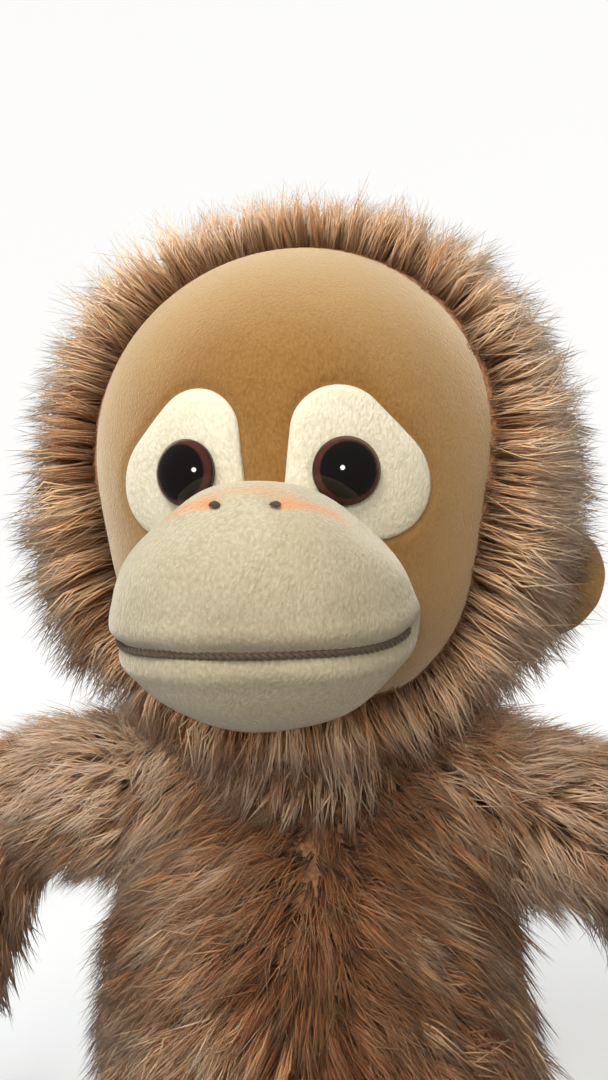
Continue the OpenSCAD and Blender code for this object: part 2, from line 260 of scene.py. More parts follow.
def streak_group() -> bpy.types.NodeTree:
    """Makes the fine fibre streaks that run along a lock.

    Returns:
        A group that turns a strand's own map into a streak, from 0 to 1.
    """
    tree = new_group("Fibre streaks", {}, {"Streak": "NodeSocketFloat"})
    tree.interface.new_socket("Chart", in_out="INPUT", socket_type="NodeSocketVector")
    bench = NodeBench(tree)
    start, end = bench.add("NodeGroupInput"), bench.add("NodeGroupOutput")
    drawn = bench.vector("MULTIPLY", start.outputs["Chart"], (650.0, 2.6, 1.0))
    lines = bench.noise(drawn, 1.0, 2.0, Roughness=0.6)
    strong = bench.maths("MULTIPLY", bench.maths("SUBTRACT", lines.outputs["Fac"], 0.5), 1.9)
    bench.feed(end.inputs[0], bench.maths("ADD", strong, 0.5, clamp=True))
    return tree


# ---------------------------------------------------------------- finishes


def tinted(colour: Colour, by: float) -> Colour:
    """Returns a colour made brighter or darker, up to white."""
    return tuple(min(1.0, by * part) for part in colour)


@dataclass(frozen=True)
class Finish:
    """What every finish has: a name and a shader."""

    name: str

    def start(self) -> tuple[bpy.types.Material, NodeBench, bpy.types.Node]:
        """Makes an empty material.

        Returns:
            The material, its bench and its shader.
        """
        material = bpy.data.materials.new(self.name)
        material.use_nodes = True
        return material, NodeBench(material.node_tree), material.node_tree.nodes["Principled BSDF"]


@dataclass(frozen=True)
class LongPile(Finish):
    """Long silky pile, dark at the root and pale at the tip, streaked by its fibres.

    It reads each strand's own map. The shades run over the strand's tone, the fibres over its streaks.
    """

    streaks: bpy.types.NodeTree
    root: Colour = (0.46, 0.225, 0.105)
    body: Colour = (0.84, 0.465, 0.245)
    tip: Colour = (0.95, 0.65, 0.435)
    roughness: float = 0.40
    # The darkest stops are reached where the tone paints shade, as along the chest's parting and under the
    # chin.
    shades: tuple = (
        (0.0, (0.28, 0.135, 0.06)), (0.25, (0.62, 0.42, 0.27)),
        (0.5, (1.0, 0.98, 0.96)), (1.0, (1.17, 1.18, 1.22)),
    )
    fibres: tuple = ((0.0, (0.66, 0.60, 0.54)), (0.5, (0.97, 0.96, 0.95)), (1.0, (1.22, 1.24, 1.28)))

    def make(self) -> bpy.types.Material:
        """Makes the material.

        Returns:
            The material.
        """
        material, bench, shader = self.start()
        chart = bench.add("ShaderNodeUVMap", uv_map=BAKE_MAP)
        parts = bench.add("ShaderNodeSeparateXYZ", {0: chart.outputs[0]})
        tone, along = parts.outputs[0], parts.outputs[1]
        streak = bench.add("ShaderNodeGroup", {"Chart": chart.outputs[0]}, node_tree=self.streaks).outputs[0]
        colour = bench.ramp(along, [(0.0, self.root), (0.30, self.body), (1.0, self.tip)])
        dyed = bench.mix(1.0, colour, bench.ramp(tone, list(self.shades)), "MULTIPLY")
        fibres = bench.ramp(streak, list(self.fibres))
        bench.bumped(shader, streak, 0.0003, 0.7)
        bench.dress(shader, {
            "Base Color": bench.mix(1.0, dyed, fibres, "MULTIPLY"),
            "Roughness": bench.maths("ADD", bench.maths("MULTIPLY", streak, 0.2), self.roughness - 0.1),
            "Specular IOR Level": 0.55, "Subsurface Weight": 0.45, "Subsurface Radius": (1.0, 0.62, 0.42),
            "Subsurface Scale": 0.0016, "Sheen Weight": 0.25, "Sheen Roughness": 0.4,
            "Sheen Tint": (1.0, 0.86, 0.74, 1.0),
        })
        return material


@dataclass(frozen=True)
class ShortNap(Finish):
    """Short brushed pile cloth, with pale tips and darker ground, an airbrushed blush, and a paler colour mixed
    in as painted sheen at grazing angles and on marked rims.
    """

    nap: bpy.types.NodeTree
    ground: Colour
    face: Colour
    tips: Colour
    grain: float = 2100.0
    depth: float = 0.00030
    crush: float = 22.0
    blush: Colour | None = None
    sheen_and_wear: Colour | None = None

    def make(self) -> bpy.types.Material:
        """Makes the material.

        Returns:
            The material.
        """
        material, bench, shader = self.start()
        nap = bench.add("ShaderNodeGroup", node_tree=self.nap)
        for key, value in (("Grain", self.grain), ("Crush", self.crush)):
            nap.inputs[key].default_value = value
        tips = nap.outputs["Tips"]
        brushed = bench.mix(nap.outputs["Marks"], self.face, self.tips)
        between = bench.maths("MULTIPLY", bench.maths("SUBTRACT", 1.0, tips), 0.75)
        colour = bench.mix(between, brushed, self.ground)
        if self.sheen_and_wear:
            # Painted sheen: a paler colour is mixed in towards marked rims and where the cloth is seen at a
            # grazing angle.
            rim = bench.add("ShaderNodeAttribute", attribute_name="rim").outputs["Fac"]
            painted_sheen = bench.add("ShaderNodeLayerWeight", {"Blend": 0.35}).outputs["Facing"]
            edge, slant = bench.maths("MULTIPLY", rim, 0.65), bench.maths("MULTIPLY", painted_sheen, 0.45)
            colour = bench.mix(bench.maths("ADD", edge, slant, clamp=True), colour, self.sheen_and_wear)
        if self.blush:
            mask = bench.add("ShaderNodeAttribute", attribute_name="blush").outputs["Fac"]
            patchy = bench.maths("MULTIPLY", mask, bench.maths("ADD", tips, 0.45), clamp=True)
            colour = bench.mix(patchy, colour, self.blush)
        bench.bumped(shader, nap.outputs["Height"], self.depth, 0.9)
        bench.dress(shader, {
            "Base Color": colour,
            "Roughness": bench.maths("SUBTRACT", 0.95, bench.maths("MULTIPLY", tips, 0.25)),
            "Specular IOR Level": 0.2, "Sheen Weight": 0.55, "Sheen Roughness": 0.45,
            "Sheen Tint": (1.0, 0.93, 0.82, 1.0),
        })
        return material


@dataclass(frozen=True)
class Backing(Finish):
    """The knitted ground that the long pile stands on."""

    yarn: Colour = (0.50, 0.26, 0.13)
    gap: Colour = (0.26, 0.13, 0.06)

    def make(self) -> bpy.types.Material:
        """Makes the material.

        Returns:
            The material.
        """
        material, bench, shader = self.start()
        knit = bench.add("ShaderNodeTexVoronoi", {"Vector": bench.here(), "Scale": 620.0}).outputs["Distance"]
        bench.bumped(shader, knit, 0.0004, 0.8)
        holes = bench.maths("MULTIPLY", knit, 1.3, clamp=True)
        bench.dress(shader, {"Base Color": bench.mix(holes, self.yarn, self.gap), "Roughness": 0.9})
        return material


@dataclass(frozen=True)
class Thread(Finish):
    """Twisted sewing thread."""

    colour: Colour
    glint: Colour

    def make(self) -> bpy.types.Material:
        """Makes the material.

        Returns:
            The material.
        """
        material, bench, shader = self.start()
        fibre = bench.noise(bench.here(), 1800.0, 3.0).outputs["Fac"]
        bench.bumped(shader, fibre, 0.0002, 0.6)
        colour = bench.mix(fibre, self.colour, self.glint)
        bench.dress(shader, {"Base Color": colour, "Roughness": 0.55, "Sheen Weight": 0.2})
        return material


@dataclass(frozen=True)
class EyeDome(Finish):
    """A polished dome: a black pupil in a dark red-brown rim. It reads the dome's ring attribute."""

    pupil: Colour = (0.003, 0.0025, 0.002)
    rim: Colour = (0.050, 0.015, 0.011)

    def make(self) -> bpy.types.Material:
        """Makes the material.

        Returns:
            The material.
        """
        material, bench, shader = self.start()
        ring = bench.add("ShaderNodeAttribute", attribute_name="ring").outputs["Fac"]
        cloud = bench.noise(bench.here(), 500.0).outputs["Fac"]
        rim = bench.mix(cloud, tinted(self.rim, 0.65), tinted(self.rim, 1.5))
        greys = ((0.0, 0.0), (0.80, 0.0), (0.85, 1.0), (0.95, 1.0), (1.0, 0.15))
        edge = bench.ramp(ring, [(place, (grey, grey, grey)) for place, grey in greys])
        bench.dress(shader, {
            "Base Color": bench.mix(edge, self.pupil, rim),
            "Roughness": bench.maths("ADD", bench.maths("MULTIPLY", cloud, 0.03), 0.03),
            "Specular IOR Level": 0.5,
        })
        return material


@dataclass(frozen=True)
class Moulded(Finish):
    """Moulded plastic with a faint mould grain."""

    colour: Colour

    def make(self) -> bpy.types.Material:
        """Makes the material.

        Returns:
            The material.
        """
        material, bench, shader = self.start()
        grain = bench.noise(bench.here(), 2500.0).outputs["Fac"]
        bench.dress(shader, {
            "Base Color": bench.mix(grain, self.colour, tinted(self.colour, 1.25)),
            "Roughness": bench.maths("ADD", bench.maths("MULTIPLY", grain, 0.2), 0.35),
        })
        return material


@dataclass(frozen=True)
class LabelTape(Finish):
    """Blank woven satin tape."""

    colour: Colour = (0.86, 0.85, 0.80)

    def make(self) -> bpy.types.Material:
        """Makes the material.

        Returns:
            The material.
        """
        material, bench, shader = self.start()
        bands = {"Vector": bench.here(), "Scale": 900.0, "Distortion": 1.5}
        weave = bench.add("ShaderNodeTexWave", bands, bands_direction="Z").outputs["Fac"]
        bench.bumped(shader, weave, 0.00015, 0.7)
        colour = bench.mix(bench.maths("MULTIPLY", weave, 0.3), self.colour, tinted(self.colour, 0.7))
        bench.dress(shader, {"Base Color": colour, "Roughness": 0.45})
        return material


class Wardrobe:
    """Every finish of the toy, made once."""

    def __init__(self) -> None:
        """Makes the materials."""
        nap = nap_group()
        self.long_pile = LongPile("Long pile", streak_group()).make()
        self.backing = Backing("Pile backing").make()
        # The tan's last, paler colour is mixed in as painted sheen at grazing angles and near the face panel's
        # seam, and over much of the ears.
        self.tan = ShortNap(
            "Tan short pile", nap, (0.128, 0.054, 0.010), (0.225, 0.101, 0.019), (0.31, 0.168, 0.046),
            sheen_and_wear=(0.35, 0.225, 0.092)).make()
        self.cream = ShortNap(
            "Cream short pile", nap, (0.43, 0.38, 0.265), (0.66, 0.605, 0.46), (0.80, 0.76, 0.63),
            grain=1700.0, depth=0.0004, crush=30.0).make()
        # The muzzle is the same cream cloth, its colours darkened to about half as painted shade, with the
        # blush on top.
        self.muzzle = ShortNap(
            "Cream short pile shaded", nap, (0.235, 0.198, 0.120), (0.36, 0.315, 0.212), (0.47, 0.425, 0.315),
            grain=1700.0, depth=0.0004, crush=30.0, blush=(0.50, 0.19, 0.065)).make()
        self.brown_thread = Thread("Brown thread", (0.030, 0.019, 0.010), (0.10, 0.068, 0.040)).make()
        self.dark_thread = Thread("Dark thread", (0.012, 0.008, 0.005), (0.06, 0.04, 0.025)).make()
        self.seam_thread = Thread("Seam thread", (0.22, 0.115, 0.045), (0.42, 0.26, 0.12)).make()
        self.dome = EyeDome("Eye dome").make()
        self.black_plastic = Moulded("Black plastic", (0.012, 0.012, 0.012)).make()
        self.washer = Moulded("Washer plastic", (0.70, 0.70, 0.66)).make()
        self.label = LabelTape("Label tape").make()


# ---------------------------------------------------------------- mesh helpers


def take_in(bm: bmesh.types.BMesh, part: bmesh.types.BMesh) -> None:
    """Adds one mesh to another.

    Args:
        bm: the mesh that grows.
        part: the mesh that is added, which is used up.
    """
    scrap = bpy.data.meshes.new("scrap")
    part.to_mesh(scrap)
    part.free()
    bm.from_mesh(scrap)
    bpy.data.meshes.remove(scrap)


def finish_mesh(bm: bmesh.types.BMesh, name: str, material: bpy.types.Material) -> bpy.types.Object:
    """Turns a bmesh into an object with its faces outwards.

    Args:
        bm: the mesh, which is used up.
        name: the object's name.
        material: its only material.

    Returns:
        The object, which isn't yet on a body.
    """
    bmesh.ops.remove_doubles(bm, verts=bm.verts, dist=1e-6)
    bmesh.ops.recalc_face_normals(bm, faces=bm.faces)
    mesh = bpy.data.meshes.new(name)
    bm.to_mesh(mesh)
    bm.free()
    mesh.materials.append(material)
    mesh.polygons.foreach_set("use_smooth", [True] * len(mesh.polygons))
    piece = bpy.data.objects.new(name, mesh)
    bpy.context.scene.collection.objects.link(piece)
    return piece


def places(mesh: bpy.types.Mesh, normals: bool = False) -> np.ndarray:
    """Reads a mesh's points.

    Args:
        mesh: the mesh.
        normals: True for the points' normals instead.

    Returns:
        One row of three for each point.
    """
    out = np.zeros(len(mesh.vertices) * 3, np.float32)
    if normals:
        mesh.vertex_normals.foreach_get("vector", out)
    else:
        mesh.vertices.foreach_get("co", out)
    return out.reshape(-1, 3).astype(float)


def sculpt(piece: bpy.types.Object, move: Callable[[np.ndarray, np.ndarray], np.ndarray]) -> None:
    """Moves a piece's points.

    Args:
        piece: the object.
        move: takes the points and their normals, and returns the new points.
    """
    mesh = piece.data
    moved = move(places(mesh), places(mesh, True))
    mesh.vertices.foreach_set("co", moved.astype(np.float32).ravel())
    mesh.update()


def mark(mesh: bpy.types.Mesh, name: str, values: np.ndarray, kind: str = "FLOAT") -> None:
    """Writes a value for each point to a named attribute.

    Args:
        mesh: the mesh.
        name: the attribute's name.
        values: a number or a vector for each point.
        kind: the attribute's data type.
    """
    attribute = mesh.attributes.get(name) or mesh.attributes.new(name, kind, "POINT")
    field_name = "vector" if kind == "FLOAT_VECTOR" else "value"
    attribute.data.foreach_set(field_name, values.astype(np.float32).ravel())


def bell(distance: np.ndarray, width: float) -> np.ndarray:
    """Returns a smooth hump, 1 at no distance."""
    return np.exp(-((distance / width) ** 2))


def ease(value: np.ndarray, low: float, high: float) -> np.ndarray:
    """Returns 0 below low, 1 above high and a smooth step between."""
    t = np.clip((value - low) / (high - low), 0, 1)
    return t * t * (3 - 2 * t)


def unit(v: np.ndarray) -> np.ndarray:
    """Returns vectors with a length of 1."""
    return v / np.maximum(np.linalg.norm(v, axis=-1, keepdims=True), 1e-9)


def ripple(points: np.ndarray, scale: float, seed: int, waves: int = 7) -> np.ndarray:
    """Returns a smooth uneven value of about -1 to 1 at each point.

    Args:
        points: the points.
        scale: how far apart the humps are.
        seed: picks the pattern.
        waves: how many waves add up to it.

    Returns:
        One value a point.
    """
    chance = np.random.default_rng(seed)
    total = np.zeros(len(points))
    for _ in range(waves):
        way = unit(chance.normal(size=3)) * chance.uniform(0.6, 1.6) * 2 * math.pi / scale
        total += np.sin(points @ way + chance.uniform(0, 6.28))
    return total / math.sqrt(waves)


def ribbon(bm: bmesh.types.BMesh, path: list) -> tuple[list, list]:
    """Draws a line of edges.

    Args:
        bm: the mesh it is drawn in.
        path: its points.

    Returns:
        The points and the edges.
    """
    points = [bm.verts.new(point) for point in path]
    return points, [bm.edges.new(pair) for pair in zip(points, points[1:])]


def turned(profile: Outline, turns: int) -> bmesh.types.BMesh:
    """Spins an outline about Z.

    Args:
        profile: (radius, height) points, from one pole to the other for a closed solid.
        turns: steps round.

    Returns:
        The mesh.
    """
    bm = bmesh.new()
    points, edges = ribbon(bm, [(r, 0, z) for r, z in profile])
    bmesh.ops.spin(
        bm, geom=points + edges, cent=(0, 0, 0), axis=(0, 0, 1), angle=2 * math.pi, steps=turns, use_merge=True,
    )
    bmesh.ops.remove_doubles(bm, verts=bm.verts, dist=1e-6)
    return bm


def tube(path: list[Vector], radii: list[float], sides: int) -> bmesh.types.BMesh:
    """Draws a round tube along a path, with rounded ends.

    Args:
        path: its middle line.
        radii: its radius at each point.
        sides: faces round.

    Returns:
        The closed mesh.
    """
    bm = bmesh.new()
    ring, across = None, None
    for i, (point, radius) in enumerate(zip(path, radii)):
        way = (path[min(i + 1, len(path) - 1)] - path[max(i - 1, 0)]).normalized()
        if across is None:
            across = way.orthogonal().normalized()
        across = (across - way * across.dot(way)).normalized()
        place = Matrix.Translation(point) @ Matrix((across, way.cross(across), way)).transposed().to_4x4()
        if ring is None:
            ring = bmesh.ops.create_circle(bm, segments=sides, radius=1.0)["verts"]
            edges = list({e for v in ring for e in v.link_edges})
            bmesh.ops.contextual_create(bm, geom=edges)
        else:
            made = bmesh.ops.extrude_edge_only(bm, edges=edges)["geom"]
            fresh = [g for g in made if isinstance(g, bmesh.types.BMVert)]
            bmesh.ops.transform(bm, matrix=last.inverted(), verts=fresh)
            fresh_edges = [g for g in made if isinstance(g, bmesh.types.BMEdge)]
            ring, edges = fresh, [e for e in fresh_edges if all(v in fresh for v in e.verts)]
        last = place @ Matrix.Diagonal((radius, radius, radius, 1.0))
        bmesh.ops.transform(bm, matrix=last, verts=ring)
    bmesh.ops.contextual_create(bm, geom=edges)
    bmesh.ops.triangulate(bm, faces=[f for f in bm.faces if len(f.verts) > 4])
    return bm


def disc_grid(steps: int) -> bmesh.types.BMesh:
    """Makes a round disc in the XZ plane of even squarish faces.

    Args:
        steps: faces along each side.

    Returns:
        The disc, with a radius of 1.
    """
    bm = bmesh.new()
    bmesh.ops.create_grid(bm, x_segments=steps, y_segments=steps, size=1.0)
    for v in bm.verts:
        x, y = v.co.x, v.co.y
        v.co = (x * math.sqrt(1 - y * y / 2), 0.0, y * math.sqrt(1 - x * x / 2))
    return bm


def polar_reach(outline: Outline, centre: tuple[float, float]) -> Callable[[np.ndarray], np.ndarray]:
    """Measures a closed outline from a point inside it.

    Args:
        outline: (x, z) points.
        centre: (x, z) of the point.

    Returns:
        A function from angle to distance.
    """
    rel = np.array(outline) - np.array(centre)
    angle = np.arctan2(rel[:, 1], rel[:, 0])
    order = np.argsort(angle)
    angle, far = angle[order], np.hypot(*rel[order].T)
    return lambda a: np.interp(a, angle, far, period=2 * math.pi)


def finer(outline: Outline, step: float) -> Outline:
    """Adds points to an outline.

    Args:
        outline: the closed outline.
        step: about how far apart its points should be.

    Returns:
        The outline with more points.
    """
    out = []
    for a, b in zip(outline, outline[1:] + outline[:1]):
        count = max(1, int(math.dist(a, b) / step))
        out += [(a[0] + (b[0] - a[0]) * i / count, a[1] + (b[1] - a[1]) * i / count) for i in range(count)]
    return out


def around_circles(circles: list[tuple[float, float, float]]) -> Outline:
    """Stretches a band round some circles.

    Args:
        circles: the (x, z, radius) of each.

    Returns:
        The band's outline.
    """
    turns = np.linspace(0, 2 * math.pi, 64, endpoint=False)
    points = [(x + r * math.cos(a), z + r * math.sin(a)) for x, z, r in circles for a in turns]
    return finer([points[i] for i in convex_hull_2d([Vector(p) for p in points])], 0.001)


def solidified(piece: bpy.types.Object, thickness: float, side: float = -1.0) -> None:
    """Gives an open cloth panel a wall, on its inner side or, at side 0, on both."""
    wall = piece.modifiers.new("Wall", "SOLIDIFY")
    wall.thickness, wall.offset = thickness, side


def applied(piece: bpy.types.Object) -> bpy.types.Object:
    """Applies a piece's modifiers to its mesh.

    Args:
        piece: the object.

    Returns:
        The same object.
    """
    graph = bpy.context.evaluated_depsgraph_get()
    shaped = piece.evaluated_get(graph)
    mesh = bpy.data.meshes.new_from_object(shaped, preserve_all_data_layers=True, depsgraph=graph)
    piece.modifiers.clear()
    old, piece.data = piece.data, mesh
    bpy.data.meshes.remove(old)
    return piece


def joined_soft(
    parts: list[bmesh.types.BMesh], name: str, material: bpy.types.Material, voxel: float, rounds: int,
) -> bpy.types.Object:
    """Melts several closed forms into one soft one.

    Args:
        parts: closed meshes, which are used up.
        name: the piece's name.
        material: its material.
        voxel: how fine the melt is.
        rounds: how often it is smoothed.

    Returns:
        The piece.
    """
    whole = bmesh.new()
    for part in parts:
        bmesh.ops.recalc_face_normals(part, faces=part.faces)
        take_in(whole, part)
    piece = finish_mesh(whole, name, material)
    melt = piece.modifiers.new("Melt", "REMESH")
    melt.mode, melt.voxel_size, melt.use_smooth_shade = "VOXEL", voxel, True
    soften = piece.modifiers.new("Soften", "SMOOTH")
    soften.factor, soften.iterations = 0.5, rounds
    applied(piece)
    piece.data.materials.clear()
    piece.data.materials.append(material)
    return piece


# ---------------------------------------------------------------- long pile


@dataclass(frozen=True)
class Strand:
    """One kind of strand in a lock: how many, how wide and thick, and how many stretches it bends in."""

    count: int
    half_w: float
    half_t: float
    bends: int


@dataclass
class LockCutter:
    """Makes the bent, pointed locks that the long pile is planted with."""

    strands: tuple[Strand, ...] = (Strand(11, 0.33 * MM, 0.20 * MM, 2), Strand(5, 0.18 * MM, 0.16 * MM, 2))
    root_spread: float = 2.6 * MM
    length: float = 30 * MM
    gather: float = 0.62
    start_lean: float = 16.0
    end_lean: float = 74.0
    kinds: int = 8
    seed: int = 11

    def strand(self, kind: Strand, chance: random.Random) -> bmesh.types.BMesh:
        """Makes one strand: a slim three-sided cone, cut along its length, bent and pointed.

        Args:
            kind: its sizes.
            chance: where its random numbers come from.

        Returns:
            The strand.
        """
        bm = bmesh.new()
        layer = bm.loops.layers.uv.new(BAKE_MAP)
        along = bm.verts.layers.float.new("along")
        made = bmesh.ops.create_cone(
            bm, cap_ends=True, segments=3, radius1=1.0, radius2=0.5, depth=1.0)["verts"]
        bmesh.ops.translate(bm, verts=made, vec=(0, 0, 0.5))
        sides = [e for e in bm.edges if abs(e.verts[0].co.z - e.verts[1].co.z) > 0.5]
        bmesh.ops.subdivide_edges(bm, edges=sides, cuts=kind.bends - 1)
        bmesh.ops.pointmerge(bm, verts=[v for v in bm.verts if v.co.z > 0.99], merge_co=(0, 0, 1))
        turn, away = chance.uniform(0, 6.28), self.root_spread * math.sqrt(chance.random())
        root = Vector((away * math.cos(turn), away * math.sin(turn), 0))
        long = self.length * chance.uniform(0.76, 1.08)
        lean0 = math.radians(self.start_lean + chance.gauss(0, 7))
        lean1 = math.radians(self.end_lean + chance.gauss(0, 9))
        curl, sway = chance.gauss(0, 0.15), chance.uniform(0, 6.28)
        twist, tone = chance.gauss(0, 0.55), chance.random()
        across = {}
        for v in bm.verts:
            t = v.co.z
            x = z = 0.0
            for i in range(12):
                lean = lean0 + (lean1 - lean0) * t * (i + 0.5) / 12
                x, z = x + math.sin(lean) * t / 12, z + math.cos(lean) * t / 12
            lean = lean0 + (lean1 - lean0) * t
            middle = Vector((x * long, curl * long * t * math.sin(sway + 2.6 * t), z * long))
            middle += root * (1 - self.gather * t)
            full = 0.0 if t > 0.99 else (0.62 + 1.3 * t - 1.55 * t * t)
            flat = v.co.xy.normalized() if v.co.xy.length > 1e-6 else Vector((0, 0))
            across[v.index] = 0.5 + 0.5 * flat.x / 0.866
            spot = Vector((flat.y * kind.half_t, flat.x / 0.866 * kind.half_w)) * full
            spot.rotate(Matrix.Rotation(twist * (0.4 + t), 2))
            v[along] = t
            v.co = middle + Vector((spot.x * math.cos(lean), spot.y, -spot.x * math.sin(lean)))
        for face in bm.faces:
            face.smooth = True
            for i, loop in enumerate(face.loops):
                sideways = across[loop.vert.index] + 0.05 * (i % 2)
                loop[layer].uv = (tone + 0.045 * sideways, 0.02 + 0.96 * loop.vert[along])
        return bm

    def make(self) -> bpy.types.Collection:
        """Makes the locks.

        Returns:
            A collection of them that isn't in the scene.
        """
        shelf = bpy.data.collections.new("locks")
        for number in range(self.kinds):
            chance = random.Random(self.seed + number)
            bm = bmesh.new()
            for kind in self.strands:
                for _ in range(kind.count):
                    take_in(bm, self.strand(kind, chance))
            mesh = bpy.data.meshes.new("lock")
            bm.to_mesh(mesh)
            bm.free()
            shelf.objects.link(bpy.data.objects.new("lock", mesh))
        return shelf


def planting_tree() -> bpy.types.NodeTree:
    """Makes the node tree that plants locks on a skin and combs them.

    Returns:
        A geometry tree whose inputs are the skin, the locks, their spacing, a seed, the droop and the sway.
    """
    tree = bpy.data.node_groups.new("Planting", "GeometryNodeTree")
    sockets = {"Geometry": "Geometry", "Locks": "Collection", "Spacing": "Float", "Seed": "Int",
               "Droop": "Float", "Sway": "Float", "Finish": "Material"}
    for key, kind in sockets.items():
        tree.interface.new_socket(key, in_out="INPUT", socket_type=f"NodeSocket{kind}")
    tree.interface.new_socket("Geometry", in_out="OUTPUT", socket_type="NodeSocketGeometry")
    bench = NodeBench(tree)
    start, end = bench.add("NodeGroupInput"), bench.add("NodeGroupOutput")

    def value(key: str, kind: str = "FLOAT") -> bpy.types.NodeSocket:
        """Returns a named attribute."""
        node = bench.add("GeometryNodeInputNamedAttribute", {"Name": key}, data_type=kind)
        return node.outputs["Attribute"]

    def stored(geometry: Feed, key: str, number: Feed, kind: str, domain: str) -> bpy.types.NodeSocket:
        """Stores an attribute.

        Args:
            geometry: what it is stored on.
            key: its name.
            number: its value.
            kind: its data type.
            domain: the elements that it belongs to.

        Returns:
            The geometry with the attribute.
        """
        values = {"Geometry": geometry, "Name": key, "Value": number}
        return bench.add("GeometryNodeStoreNamedAttribute", values, data_type=kind, domain=domain).outputs[0]

    def joined(x: Feed = 0.0, y: Feed = 0.0, z: Feed = 0.0) -> bpy.types.NodeSocket:
        """Returns three numbers as a vector."""
        return bench.add("ShaderNodeCombineXYZ", {0: x, 1: y, 2: z}).outputs[0]

    def chance(low: float, high: float, salt: int) -> bpy.types.NodeSocket:
        """Adds a random number for each element.

        Args:
            low: its least.
            high: its most.
            salt: keeps it apart from the others.

        Returns:
            The number.
        """
        node = bench.add("FunctionNodeRandomValue", data_type="FLOAT")
        for key, number in (("Min", low), ("Max", high)):
            socket = next(s for s in node.inputs if s.name == key and s.type == "VALUE")
            socket.default_value = number
        bench.feed(node.inputs["Seed"], bench.maths("ADD", start.outputs["Seed"], float(salt)))
        return next(s for s in node.outputs if s.type == "VALUE" and s.enabled)

    where = bench.add("GeometryNodeInputPosition").outputs[0]
    drift = bench.noise(where, 38.0, 1.0)
    patchy = bench.maths("MULTIPLY", bench.maths("SUBTRACT", drift.outputs["Fac"], 0.5), 1.2)
    # The skin's paleness is added to the tone. Besides the random patches, its low values paint shade, as along
    # the chest's parting and under the chin.
    shade = bench.maths("ADD", chance(-0.17, 0.17, 1), bench.maths("ADD", patchy, value("dye")))
    spread = bench.add("GeometryNodeDistributePointsOnFaces", {
        "Mesh": start.outputs["Geometry"], "Distance Min": start.outputs["Spacing"],
        "Density Max": 300000.0, "Density Factor": value("cover"), "Seed": start.outputs["Seed"],
    }, distribute_method="POISSON")
    points = stored(spread.outputs["Points"], "tone", shade, "FLOAT", "POINT")
    stray = bench.vector("SUBTRACT", drift.outputs["Color"], (0.5, 0.5, 0.5))
    comb = bench.vector("ADD", value("comb", "FLOAT_VECTOR"), bench.scaled(stray, 2.1))
    aim = bench.add("FunctionNodeAxesToRotation", {
        "Primary Axis": spread.outputs["Normal"], "Secondary Axis": comb,
    }, primary_axis="Z", secondary_axis="X")
    tip = bench.maths("ADD", value("lean"), chance(-0.20, 0.20, 3))
    turns = joined(chance(-0.22, 0.22, 2), tip, chance(-0.35, 0.35, 4))
    twist = bench.add("FunctionNodeEulerToRotation", {0: turns})
    aimed = bench.add("FunctionNodeRotateRotation", {
        "Rotation": aim.outputs[0], "Rotate By": twist.outputs[0],
    }, rotation_space="LOCAL")
    size = bench.maths("MULTIPLY", value("length"), chance(0.82, 1.14, 5))
    locks = bench.add("GeometryNodeCollectionInfo", {
        "Collection": start.outputs["Locks"], "Separate Children": True, "Reset Children": True,
    })
    planted = bench.add("GeometryNodeInstanceOnPoints", {
        "Points": points, "Instance": locks.outputs[0], "Pick Instance": True, "Rotation": aimed.outputs[0],
        "Scale": joined(size, size, size),
    })
    grown = bench.add("GeometryNodeRealizeInstances", {"Geometry": planted.outputs[0]}).outputs[0]
    along = value("along")
    bent = bench.maths("MULTIPLY", along, along)
    wave = bench.noise(where, 110.0, 1.0)
    push = bench.vector("SUBTRACT", wave.outputs["Color"], (0.5, 0.5, 0.5))
    moved = bench.scaled(push, bench.maths("MULTIPLY", bent, start.outputs["Sway"]))
    fall = joined(z=bench.maths("MULTIPLY", bent, bench.maths("MULTIPLY", start.outputs["Droop"], -1.0)))
    offset = {"Geometry": grown, "Offset": bench.vector("ADD", moved, fall)}
    shifted = bench.add("GeometryNodeSetPosition", offset).outputs[0]
    spot = bench.add("ShaderNodeSeparateXYZ", {0: where})
    least = bench.maths("MULTIPLY", bench.maths("SUBTRACT", 1.0, along), 0.001)
    above = joined(spot.outputs[0], spot.outputs[1], bench.maths("MAXIMUM", spot.outputs[2], least))
    laid = bench.add("GeometryNodeSetPosition", {"Geometry": shifted, "Position": above}).outputs[0]
    chart = bench.add("ShaderNodeSeparateXYZ", {0: value(BAKE_MAP, "FLOAT_VECTOR")})
    own = bench.maths("MULTIPLY", bench.maths("SUBTRACT", chart.outputs[0], 0.5), 0.22)
    tones = joined(bench.maths("ADD", own, value("tone")), chart.outputs[1])
    charted = stored(laid, BAKE_MAP, tones, "FLOAT2", "CORNER")
    coloured = {"Geometry": charted, "Material": start.outputs["Finish"]}
    dyed = bench.add("GeometryNodeSetMaterial", coloured).outputs[0]
    bench.feed(end.inputs[0], dyed)
    return tree


def steady(number: float) -> Callable:
    """Returns a field that is the same number everywhere."""
    return lambda co, no: np.full(len(co), float(number))


@dataclass
class Growth:
    """How pile grows on a skin. Each field takes the skin's points and normals.

    Attributes:
        comb: which way the pile lies.
        length: its length as a share of a lock's.
        cover: how thickly it stands, from 0 to 1.
        lean: radians it leans further than a lock's own bend.
        dye: how pale it is, from 0 to 1; low values paint shade, as under the chin and along the chest's
            parting.
        droop: how far its tips sink.
        sway: how far its tips wander.
    """

    comb: Callable
    length: Callable
    cover: Callable
    lean: Callable = steady(0.0)
    dye: Callable = steady(0.48)
    droop: float = 4 * MM
    sway: float = 7 * MM


